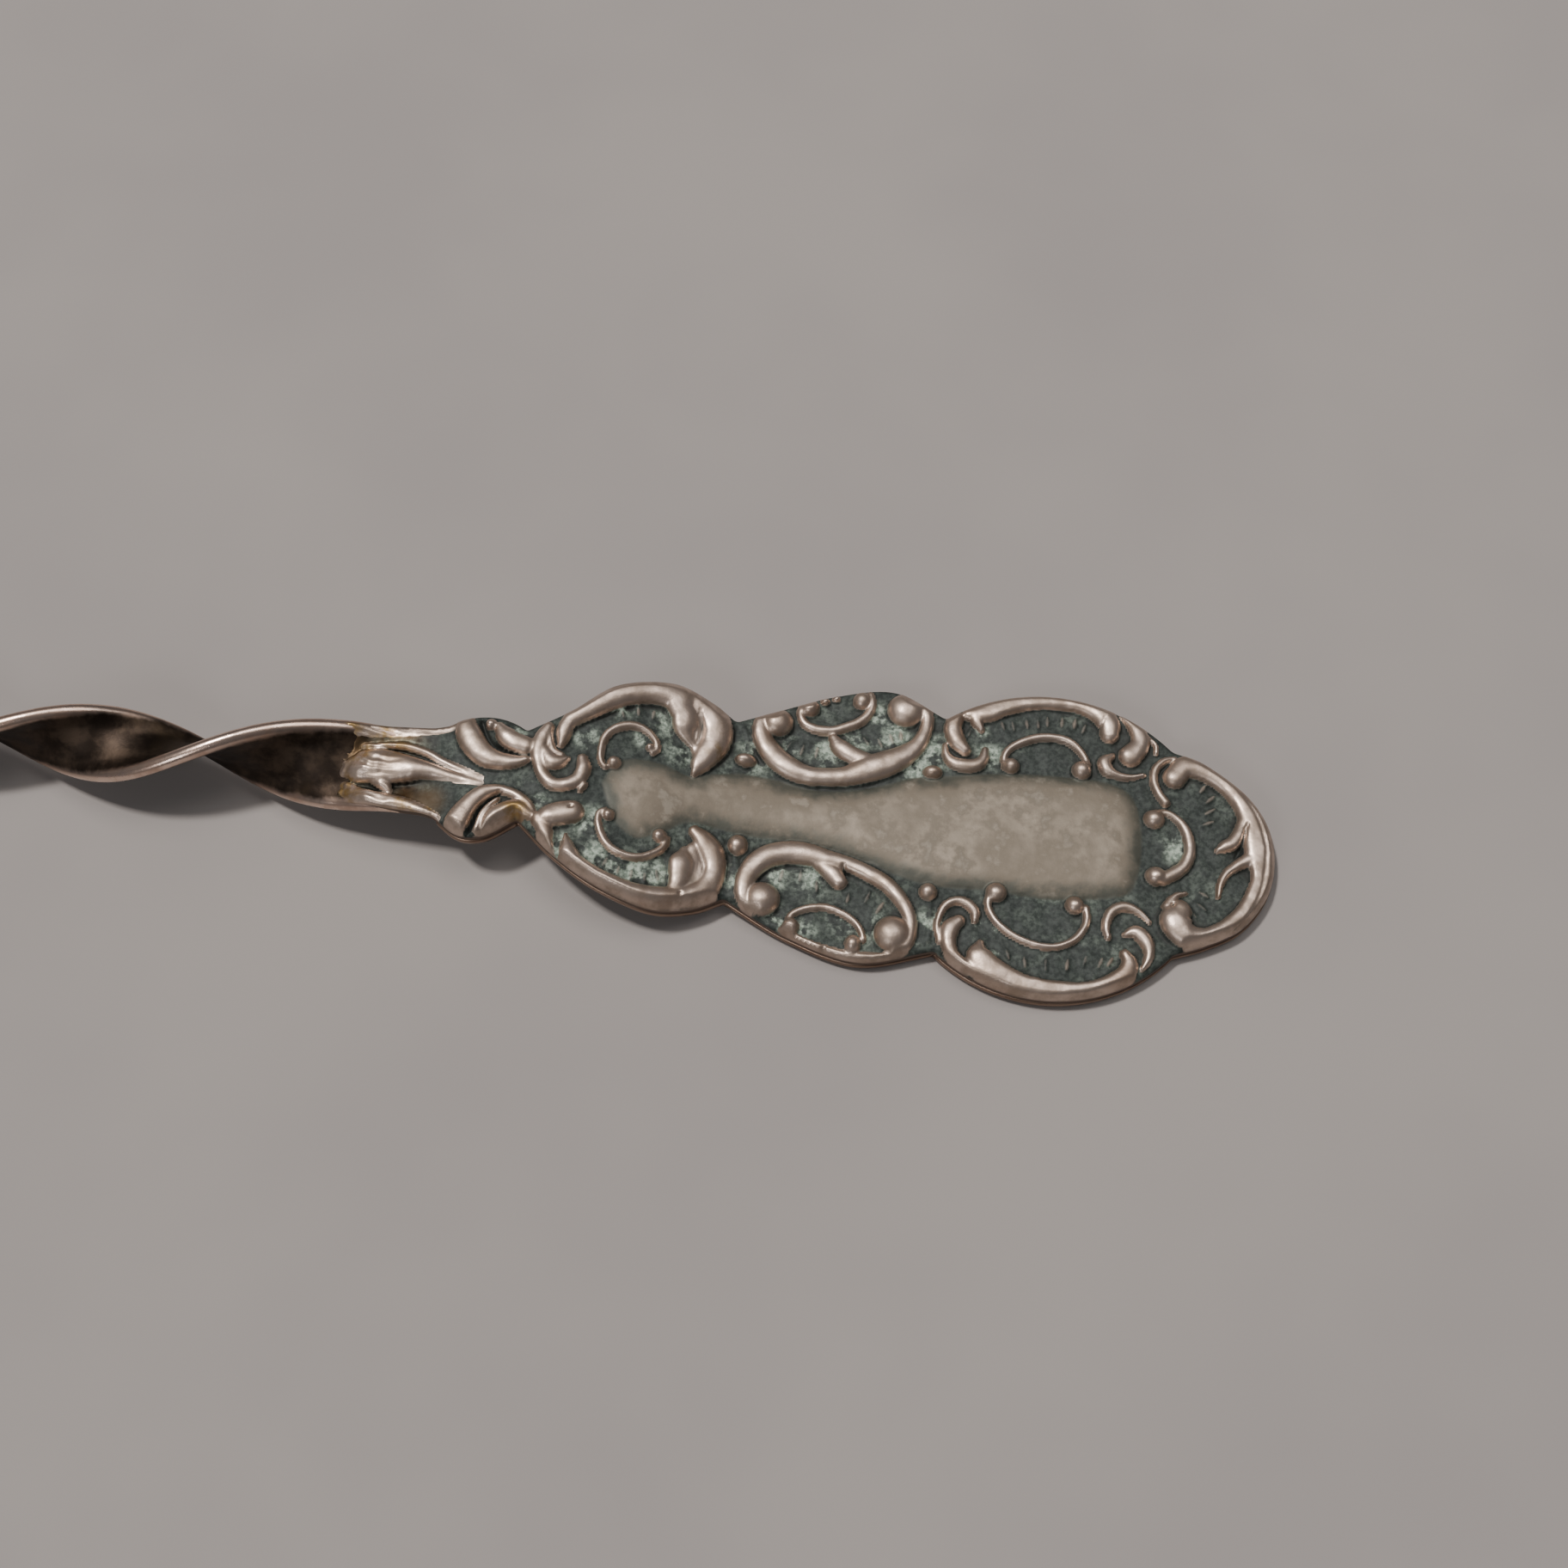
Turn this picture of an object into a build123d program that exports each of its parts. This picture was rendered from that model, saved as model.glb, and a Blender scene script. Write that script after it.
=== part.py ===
from build123d import *
import math
import os

# Hat pin, lying face up on its back plate. Millimetres.
# +X runs along the stem's axis towards the head's tip and +Z is up, out of the head's face.
# The origin is on the stem's axis, at the shoulder of the collar that the steel stem leaves.

# Head: a die-struck front soldered to a plain back plate
HEAD_LENGTH = 40.0          # from the narrowest point of the neck to the tip
HEAD_WIDTH = 17.4           # across the widest pair of lobes
NECK_LENGTH = 4.4           # from the neck's open mouth to its narrowest point
BACK_THICKNESS = 0.6
GROUND_HEIGHT = 1.25        # sunk ground between the scrolls, above the back face
PANEL_HEIGHT = 1.65         # plain centre panel, above the back face
SCROLL_HEIGHT = 2.05        # crests of the scrolls, above the back face
FRONT_WALL = 0.3            # metal left over the hollow inside
NECK_RISE = 2.4             # how far the neck stands above the head's flat part
RISE_LENGTH = 14.0          # length of the S-bend that lifts the neck

# Twisted strip, with a flat tang in the head and a round stub in the collar
STRIP_WIDTH = 4.8
STRIP_END_WIDTH = 3.0       # the strip narrows to this at the collar
STRIP_RIM_DIAMETER = 0.9    # rounded bead along both edges
STRIP_WEB_THICKNESS = 0.5   # thinner metal between the beads
TWIST_PITCH = 23.0          # length of one full turn
TWIST_TURNS = 1.5
TWIST_SECTIONS = 36         # places along the twist where its section is set
FLAT_LENGTH = 6.0           # untwisted stretch before the head
TANG_LENGTH = 5.2
TANG_WIDTH = 3.4
TANG_THICKNESS = 0.6
TANG_HEIGHT = 0.675         # tang's middle above the neck's back face
STUB_DIAMETER = 2.2
STUB_LENGTH = 3.0

# Collar and stem
COLLAR_LENGTH = 6.0
COLLAR_MOUTH_DIAMETER = 3.6
COLLAR_NOSE_DIAMETER = 2.0
COLLAR_RING_DIAMETER = 4.0
COLLAR_RING_WIDTH = 0.9
STEM_DIAMETER = 1.1
STEM_LENGTH = 90.0
STEM_SPIGOT_DIAMETER = 0.7   # the end turned down to seat in the collar
STEM_SPIGOT_LENGTH = 2.6
POINT_LENGTH = 9.0
POINT_TIP_DIAMETER = 0.12

# Applied leaf over the joint of strip and neck
LEAF_LENGTH = 5.6           # how far the leaf reaches over the strip
LEAF_HEIGHT = 0.75          # above the strip's web
LEAF_TO_BEAD = 0.2          # free web on each side of the leaf

SOLDER_GAP = 0.02           # clearance that solder fills
CAVITY_INSET = 0.78         # size of the hollow, as a share of the head's outline

# Worked-out places
TWIST_LENGTH = TWIST_PITCH * TWIST_TURNS
TWIST_END_X = COLLAR_LENGTH + TWIST_LENGTH
MOUTH_X = TWIST_END_X + FLAT_LENGTH
ROOT_X = MOUTH_X + NECK_LENGTH
BACK_Z = -(NECK_RISE + TANG_HEIGHT)
LEAF_HALF_WIDTH = STRIP_WIDTH / 2 - STRIP_RIM_DIAMETER - LEAF_TO_BEAD
RISE_END_X = MOUTH_X + TANG_LENGTH + SOLDER_GAP
RISE_START_X = RISE_END_X + RISE_LENGTH
RISE_RADIUS = (RISE_LENGTH**2 + NECK_RISE**2) / (4 * NECK_RISE)
TIP_X = ROOT_X + HEAD_LENGTH
EXTRA = 1.0                 # how far cutting and trimming shapes reach past the metal

# The head's ornament is laid out on a head 40 long, 17.4 wide, with a neck 4.4 long
LAYOUT_LENGTH = 40.0
LAYOUT_WIDTH = 17.4
LAYOUT_NECK = 4.4


def place(x, y):
    """A point of the ornament's layout, in the part's frame."""
    share = HEAD_LENGTH / LAYOUT_LENGTH if x > 0 else NECK_LENGTH / LAYOUT_NECK
    return (ROOT_X + x * share, y * HEAD_WIDTH / LAYOUT_WIDTH)


# One list of points per lobe; neighbouring lobes meet in a sharp notch
OUTLINE = [
    [(-4.4, 2.6), (-2.9, 3.3), (-0.2, 2.75)],
    [(-0.2, 2.75), (2.0, 4.2), (4.2, 6.05), (7.2, 6.8), (9.3, 6.2), (10.7, 5.3)],
    [(10.7, 5.3), (13.0, 6.4), (16.0, 7.6), (19.2, 8.15), (22.1, 6.8)],
    [(22.1, 6.8), (28.3, 8.7), (34.5, 6.0)],
    [(34.5, 6.0), (36.2, 5.45), (38.4, 3.9), (39.6, 2.2), (40.0, 0.2),
     (39.6, -1.9), (38.3, -3.8), (36.5, -4.9), (34.7, -5.6)],
    [(34.7, -5.6), (28.6, -8.7), (22.3, -6.6)],
    [(22.3, -6.6), (18.4, -7.6), (14.6, -6.6), (11.1, -4.9)],
    [(11.1, -4.9), (9.4, -5.8), (7.2, -6.2), (4.4, -5.4), (2.0, -4.0), (0.0, -2.3)],
    [(0.0, -2.3), (-1.6, -3.4), (-3.0, -3.5), (-4.4, -2.6)],
]

# Edge of the plain centre panel
PANEL = [
    (3.7, 0.2), (5.2, 1.5), (8.5, 1.9), (11.5, 2.2), (15.5, 1.8), (19.5, 2.6), (24.0, 3.5),
    (30.0, 3.9), (32.5, 2.6), (32.7, 0.2), (32.4, -2.2), (29.0, -3.2), (22.0, -3.0),
    (15.5, -1.4), (9.0, -1.0), (5.0, -0.9),
]

# Scrolls: start, middle, end and width
SCROLLS = [
    ((-3.5, 2.6), (-2.6, 1.3), (-0.3, 1.0), 0.8),
    ((-1.7, 2.6), (-0.9, 2.4), (-0.2, 2.1), 0.9),
    ((-3.0, -3.2), (-1.9, -1.0), (0.6, -1.5), 0.7),
    ((0.5, 2.8), (1.3, 0.2), (3.0, 1.5), 0.6),
    ((1.6, 2.6), (1.4, 3.4), (2.3, 4.2), 0.9),
    ((1.6, -3.4), (1.6, -2.0), (3.0, -1.4), 0.8),
    ((2.3, 4.0), (6.6, 6.2), (10.0, 4.4), 1.1),
    ((10.0, 4.4), (9.8, 3.2), (8.8, 2.1), 1.1),
    ((7.9, 5.2), (8.2, 4.4), (8.7, 3.7), 0.9),
    ((4.1, 1.5), (5.2, 3.9), (6.7, 3.1), 0.36),
    ((2.9, -3.5), (5.8, -5.3), (9.4, -5.0), 0.95),
    ((9.4, -5.0), (10.5, -3.6), (9.2, -1.4), 0.95),
    ((8.6, -2.8), (8.9, -3.8), (8.7, -4.9), 0.7),
    ((4.3, -1.3), (5.6, -3.3), (7.7, -2.3), 0.36),
    ((12.2, 4.8), (15.3, 2.6), (20.9, 5.2), 1.0),
    ((20.9, 5.2), (21.1, 6.2), (20.6, 7.0), 0.7),
    ((16.2, 4.5), (16.9, 4.0), (18.0, 3.5), 0.9),
    ((14.3, 6.3), (15.7, 5.3), (17.9, 6.6), 0.42),
    ((12.6, -4.2), (14.8, -2.0), (20.9, -5.0), 0.9),
    ((16.5, -2.6), (16.9, -3.0), (17.0, -3.6), 0.7),
    ((14.7, -6.0), (16.6, -4.95), (18.6, -6.6), 0.36),
    ((24.0, 6.2), (28.2, 8.3), (31.0, 6.5), 0.8),
    ((31.6, 7.9), (32.8, 6.6), (32.0, 5.2), 0.8),
    ((30.8, 5.3), (31.5, 4.2), (33.0, 4.6), 0.4),
    ((22.6, 6.7), (22.6, 5.5), (23.4, 4.9), 0.8),
    ((22.1, 4.8), (23.3, 3.9), (24.3, 4.8), 0.5),
    ((25.5, 4.4), (28.0, 6.05), (29.8, 4.6), 0.36),
    ((24.5, -6.2), (28.6, -8.1), (32.2, -6.2), 0.75),
    ((23.5, -4.9), (22.9, -6.2), (24.6, -7.4), 0.6),
    ((22.6, -5.6), (23.4, -3.9), (24.3, -4.7), 0.4),
    ((25.0, -3.4), (28.0, -5.85), (30.2, -3.6), 0.36),
    ((31.2, -4.9), (32.0, -3.3), (33.5, -4.2), 0.45),
    ((32.2, -4.7), (33.3, -5.2), (33.3, -6.6), 0.5),
    ((34.6, 4.7), (38.5, 1.6), (35.6, -4.4), 0.9),
    ((33.9, 5.3), (33.6, 4.0), (34.3, 2.8), 0.4),
    ((38.4, 1.6), (37.9, 0.7), (36.9, 0.35), 0.5),
    ((38.5, -0.2), (37.4, -0.9), (36.9, -2.1), 0.35),
    ((33.7, 2.1), (35.3, 0.4), (33.9, -1.4), 0.5),
]

# Round bosses at the scrolls' ends and between the lobes: centre and radius
BOSSES = [
    ((4.5, 1.6), 0.42), ((6.35, 2.9), 0.34), ((4.65, -1.35), 0.4), ((7.45, -2.0), 0.42),
    ((11.4, 3.0), 0.42), ((11.5, -1.75), 0.45), ((21.55, 3.45), 0.42), ((21.75, -3.5), 0.45),
    ((12.8, 5.5), 0.8), ((19.85, 7.0), 0.95), ((14.6, 6.6), 0.45), ((17.5, 7.3), 0.5),
    ((13.1, -4.75), 0.85), ((20.1, -5.9), 0.85), ((14.8, -6.1), 0.42), ((18.1, -6.6), 0.42),
    ((25.75, 4.25), 0.42), ((29.5, 4.25), 0.46), ((25.3, -3.15), 0.5), ((29.5, -3.5), 0.5),
    ((33.45, 1.85), 0.52), ((33.65, -1.45), 0.5), ((34.6, 4.3), 0.65), ((34.9, -3.6), 0.8),
]


def head_outline():
    """The head's lobed outline, closed across the neck's open mouth."""
    edges = []
    for lobe in OUTLINE:
        points = [place(*point) for point in lobe]
        edges.append(ThreePointArc(*points) if len(points) == 3 else Spline(*points))
    first, last = edges[0] @ 0, edges[-1] @ 1
    edges.append(Line(last, first))
    return make_face(edges)


def slab(low, high):
    """Everything between two heights above the back face, following the neck's S-bend."""
    left, right = ROOT_X - NECK_LENGTH - EXTRA, TIP_X + EXTRA
    middle_x = (RISE_START_X + RISE_END_X) / 2
    quarter = RISE_LENGTH / 4
    sag = RISE_RADIUS - math.sqrt(RISE_RADIUS**2 - quarter**2)

    def curve(height):
        z = BACK_Z + height
        foot, top = (RISE_START_X, z), (RISE_END_X, z + NECK_RISE)
        middle = (middle_x, z + NECK_RISE / 2)
        return [
            Line((right, z), foot),
            ThreePointArc(foot, (RISE_START_X - quarter, z + sag), middle),
            ThreePointArc(middle, (RISE_END_X + quarter, z + NECK_RISE - sag), top),
            Line(top, (left, z + NECK_RISE)),
        ]

    upper, lower = curve(high), curve(low)
    ends = [Line(upper[0] @ 0, lower[0] @ 0), Line(upper[-1] @ 1, lower[-1] @ 1)]
    side = Plane.XZ * make_face([*upper, *lower, *ends])
    return extrude(side, HEAD_WIDTH, both=True)


def standing(face):
    """A plan shape as a tall prism, to be trimmed by a slab."""
    height = NECK_RISE + SCROLL_HEIGHT + 2 * EXTRA
    return extrude(Pos(0, 0, BACK_Z - EXTRA) * face, height)


def scroll_faces():
    faces = []
    for start, middle, end, width in SCROLLS:
        path = ThreePointArc(place(*start), place(*middle), place(*end))
        faces.append(trace(path, width))
        for tip in (start, end):
            faces.append(Pos(*place(*tip)) * Circle(width / 2))
    for centre, radius in BOSSES:
        faces.append(Pos(*place(*centre)) * Circle(radius))
    return faces


def tang_pocket():
    length = TANG_LENGTH + SOLDER_GAP + EXTRA
    middle_x = MOUTH_X + (TANG_LENGTH + SOLDER_GAP - EXTRA) / 2
    size = (length, TANG_WIDTH + 2 * SOLDER_GAP, TANG_THICKNESS + 2 * SOLDER_GAP)
    return Pos(middle_x, 0, 0) * Box(*size)


def hollow():
    """The air space between front and back, from the tang to the tip."""
    start = RISE_END_X + EXTRA
    length = TIP_X - start
    plan = Pos(start + length * CAVITY_INSET / 2, 0) * Ellipse(
        length * CAVITY_INSET / 2, HEAD_WIDTH * CAVITY_INSET / 4
    )
    return standing(plan) & slab(BACK_THICKNESS, GROUND_HEIGHT - FRONT_WALL)


def leaf():
    """The ridged leaf that covers the joint, lying on the strip between its beads."""
    base_z = STRIP_WEB_THICKNESS / 2 + SOLDER_GAP
    tip, mouth = MOUTH_X - LEAF_LENGTH, MOUTH_X + EXTRA
    upper = Spline((tip, 0), (tip + LEAF_LENGTH / 3, LEAF_HALF_WIDTH * 0.8), (mouth, LEAF_HALF_WIDTH))
    lower = mirror(upper, Plane.XZ)
    plan = make_face([upper, lower, Line(upper @ 1, lower @ 1)])
    radius = (LEAF_HALF_WIDTH**2 + LEAF_HEIGHT**2) / (2 * LEAF_HEIGHT)
    ridge = Pos((tip + mouth) / 2, 0, base_z + LEAF_HEIGHT - radius) * Rot(0, 90, 0) * Cylinder(
        radius, 2 * (mouth - tip)
    )
    return extrude(Pos(0, 0, base_z) * plan, LEAF_HEIGHT) & ridge


def head_front():
    outline = head_outline()
    plate = standing(outline) & slab(BACK_THICKNESS, GROUND_HEIGHT)
    panel_edge = Spline(*[place(*point) for point in PANEL], periodic=True)
    panel = standing(make_face(panel_edge)) & slab(BACK_THICKNESS, PANEL_HEIGHT)
    relief_plan = Sketch() + scroll_faces()
    relief = standing(relief_plan & outline) & slab(BACK_THICKNESS, SCROLL_HEIGHT)
    return plate + panel + relief + leaf() - hollow() - tang_pocket()


def head_back():
    plate = standing(head_outline()) & slab(0, BACK_THICKNESS)
    return plate - tang_pocket()


def strip_section(x, width, turn):
    """Two round beads joined by a thinner web, wide along Y before it is turned about the stem's axis."""
    bead_y = (width - STRIP_RIM_DIAMETER) / 2
    beads = [Pos(0, side * bead_y) * Circle(STRIP_RIM_DIAMETER / 2) for side in (-1, 1)]
    web = Rectangle(STRIP_WEB_THICKNESS, 2 * bead_y)
    section = Sketch() + beads + web
    across = Plane(origin=(x, 0, 0), x_dir=(0, 0, -1), z_dir=(1, 0, 0))
    return Rot(turn, 0, 0) * (across * section.face())


def twisted_shank():
    flat = extrude(strip_section(TWIST_END_X, STRIP_WIDTH, 0), FLAT_LENGTH, dir=(1, 0, 0))
    sections = []
    for k in range(TWIST_SECTIONS + 1):
        share = k / TWIST_SECTIONS
        width = STRIP_WIDTH + (STRIP_END_WIDTH - STRIP_WIDTH) * share
        sections.append(strip_section(TWIST_END_X - TWIST_LENGTH * share, width, 360 * TWIST_TURNS * share))
    twist = loft(sections)
    tang = Pos(MOUTH_X + TANG_LENGTH / 2 - EXTRA / 2, 0, 0) * Box(
        TANG_LENGTH + EXTRA, TANG_WIDTH, TANG_THICKNESS
    )
    stub_x = COLLAR_LENGTH - STUB_LENGTH
    stub = Pos(stub_x, 0, 0) * Rot(0, 90, 0) * Cylinder(
        STUB_DIAMETER / 2, STUB_LENGTH, align=(Align.CENTER, Align.CENTER, Align.MIN)
    )
    return flat + twist + tang + stub


def turned(profile):
    """A turned piece from its half profile of (x, radius) points."""
    outline = make_face(Polyline(*profile, close=True))
    return revolve(outline, Axis.X)


def stem_collar():
    stub_bore = STUB_DIAMETER / 2 + SOLDER_GAP
    spigot_bore = STEM_SPIGOT_DIAMETER / 2 + SOLDER_GAP
    step_x = COLLAR_LENGTH - STUB_LENGTH - SOLDER_GAP
    ring_x = COLLAR_LENGTH - COLLAR_RING_WIDTH
    return turned([
        (0, spigot_bore),
        (0, COLLAR_NOSE_DIAMETER / 2),
        (ring_x, COLLAR_MOUTH_DIAMETER / 2),
        (ring_x, COLLAR_RING_DIAMETER / 2),
        (COLLAR_LENGTH, COLLAR_RING_DIAMETER / 2),
        (COLLAR_LENGTH, stub_bore),
        (step_x, stub_bore),
        (step_x, spigot_bore),
    ])


def pin_stem():
    radius = STEM_DIAMETER / 2
    spigot_radius = STEM_SPIGOT_DIAMETER / 2
    return turned([
        (STEM_SPIGOT_LENGTH, 0),
        (STEM_SPIGOT_LENGTH, spigot_radius),
        (0, spigot_radius),
        (0, radius),
        (-STEM_LENGTH + POINT_LENGTH, radius),
        (-STEM_LENGTH, POINT_TIP_DIAMETER / 2),
        (-STEM_LENGTH, 0),
    ])


def main():
    os.makedirs("parts", exist_ok=True)
    pieces = {
        "head_front": head_front(),
        "head_back": head_back(),
        "twisted_shank": twisted_shank(),
        "stem_collar": stem_collar(),
        "pin_stem": pin_stem(),
    }
    for name, piece in pieces.items():
        export_step(piece, f"parts/{name}.step")


main()
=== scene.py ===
"""Looks of a silver hat pin: a struck paddle head, a twisted strip shank, a collar and a steel stem."""

import math

import bpy
import numpy as np
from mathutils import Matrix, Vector


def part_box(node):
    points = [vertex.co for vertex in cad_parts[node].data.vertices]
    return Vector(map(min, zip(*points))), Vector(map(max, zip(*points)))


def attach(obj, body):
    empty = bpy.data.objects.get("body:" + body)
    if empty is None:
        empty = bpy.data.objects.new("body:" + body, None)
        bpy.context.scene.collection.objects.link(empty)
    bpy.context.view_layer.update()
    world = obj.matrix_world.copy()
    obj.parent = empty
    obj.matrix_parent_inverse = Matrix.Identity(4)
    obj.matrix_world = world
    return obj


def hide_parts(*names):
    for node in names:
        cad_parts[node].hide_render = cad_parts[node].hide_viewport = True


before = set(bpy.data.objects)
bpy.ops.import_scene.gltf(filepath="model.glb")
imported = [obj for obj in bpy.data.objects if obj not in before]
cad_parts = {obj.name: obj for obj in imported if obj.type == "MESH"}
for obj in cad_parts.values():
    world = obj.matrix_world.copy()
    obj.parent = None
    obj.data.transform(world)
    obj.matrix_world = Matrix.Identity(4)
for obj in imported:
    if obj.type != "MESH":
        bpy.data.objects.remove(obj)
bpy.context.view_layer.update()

MM = .001

# Places taken from the frame, in mm
HEAD_LOW, HEAD_HIGH = (np.array(corner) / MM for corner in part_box("head_back"))
FLOOR_Z = HEAD_LOW[2]
TIP_X = HEAD_HIGH[0]
MOUTH_X = HEAD_LOW[0]  # the neck's end, where the strip goes in
HEAD_LENGTH = 40.0
ROOT_X = TIP_X - HEAD_LENGTH  # the ornament's x is measured from here
NECK_END = -4.4  # the mouth, measured from the root
NECK_RISE = 2.4
RISE_HIGH_X = .82  # the neck is fully raised up to here
RISE_LOW_X = 14.82  # and lies flat from here on
STRIP_HEIGHT = -FLOOR_Z  # the strip's middle, above the floor
STRIP_LEVEL = STRIP_HEIGHT - NECK_RISE  # the same, above the raised neck's back face

# Heights above the back face
SEAM = .6
EDGE = .82
EDGE_TOP = EDGE + .25  # no point of the front's outline is higher
GROUND = 1.22
PANEL_EDGE = 1.26
PANEL_TOP = 1.62
PANEL_SLOPE = 1.7  # how far in from its edge the panel keeps rising
PANEL_FADE = 1.3  # the panel's grime fades over this distance
CREST = 2.05

# The strip
STRIP_WIDTH = 4.8
STRIP_END_WIDTH = 3.0
RIM_DIAMETER = .9
WEB_THICKNESS = .5
TWIST_HALF_PITCH = 11.5
TWIST_EASE = 3.5  # over about this length the twist dies out
COLLAR_LENGTH = 6.0
TWIST_START_X = COLLAR_LENGTH
TWIST_END_X = COLLAR_LENGTH + 34.5
STRIP_INTO_NECK = 2.0  # the strip's mesh goes this far into the neck
STRIP_STEP = .14

# The stem
STEM_RADIUS = .55
STEM_IN_COLLAR = .4
POINT_LENGTH = 9.0
POINT_START_X = -81.0

CELL = .09  # the head's grid
BACK_CELL = .3
LINE_STEP = .05  # a stroke's samples lie about this far apart
SLEEVE_X = -10.1  # the leaf's sleeve reaches this far over the strip
SPREAD, SPREAD_MORE = 1.22, .06  # a ridge's foot is this much wider than its crest band
RIDGE_POWER = .38  # the lower, the flatter a ridge's top
RIM_OVERRUN = .24  # a rim ends this far past the outline
RIM_TAPER = 24  # and narrows over this many samples at its ends
RIM_EVENING = 14  # and is averaged over this many samples on either side

HEAD_SEED, STRIP_SEED = 4, 12

OUTLINE = [
    [(-4.4, 2.6), (-2.9, 3.3), (-.2, 2.75)],
    [(-.2, 2.75), (2, 4.2), (4.2, 6.05), (7.2, 6.8), (9.3, 6.2), (10.7, 5.3)],
    [(10.7, 5.3), (13, 6.4), (16, 7.6), (19.2, 8.15), (22.1, 6.8)],
    [(22.1, 6.8), (28.3, 8.7), (34.5, 6)],
    [(34.5, 6), (36.2, 5.45), (38.4, 3.9), (39.6, 2.2), (40, .2), (39.6, -1.9), (38.3, -3.8), (36.5, -4.9),
     (34.7, -5.6)],
    [(34.7, -5.6), (28.6, -8.7), (22.3, -6.6)],
    [(22.3, -6.6), (18.4, -7.6), (14.6, -6.6), (11.1, -4.9)],
    [(11.1, -4.9), (9.4, -5.8), (7.2, -6.2), (4.4, -5.4), (2, -4), (0, -2.3)],
    [(0, -2.3), (-1.6, -3.4), (-3, -3.5), (-4.4, -2.6)],
]

PANEL = [
    (4.2, .2), (4.6, 1.1), (5.4, 1.75), (7, 1.85), (8.6, 1.5), (10, 1.95), (11.5, 2.2), (13.2, 2.1),
    (15.2, 1.75), (17.2, 1.9), (19, 2.4), (20.5, 3), (22.5, 3.3), (24.8, 3.65), (28, 3.85), (31, 3.7),
    (32.3, 3), (32.75, 1.6), (32.85, .2), (32.7, -1.4), (32.2, -2.5), (30.6, -2.95), (28, -3.2), (25, -3),
    (22.5, -3.05), (20.5, -2.75), (18.5, -2.05), (15.5, -1.35), (12, -1.25), (9, -1.05), (7.6, -1.9),
    (6.3, -2.5), (5.2, -1.9), (4.6, -.8),
]

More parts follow.
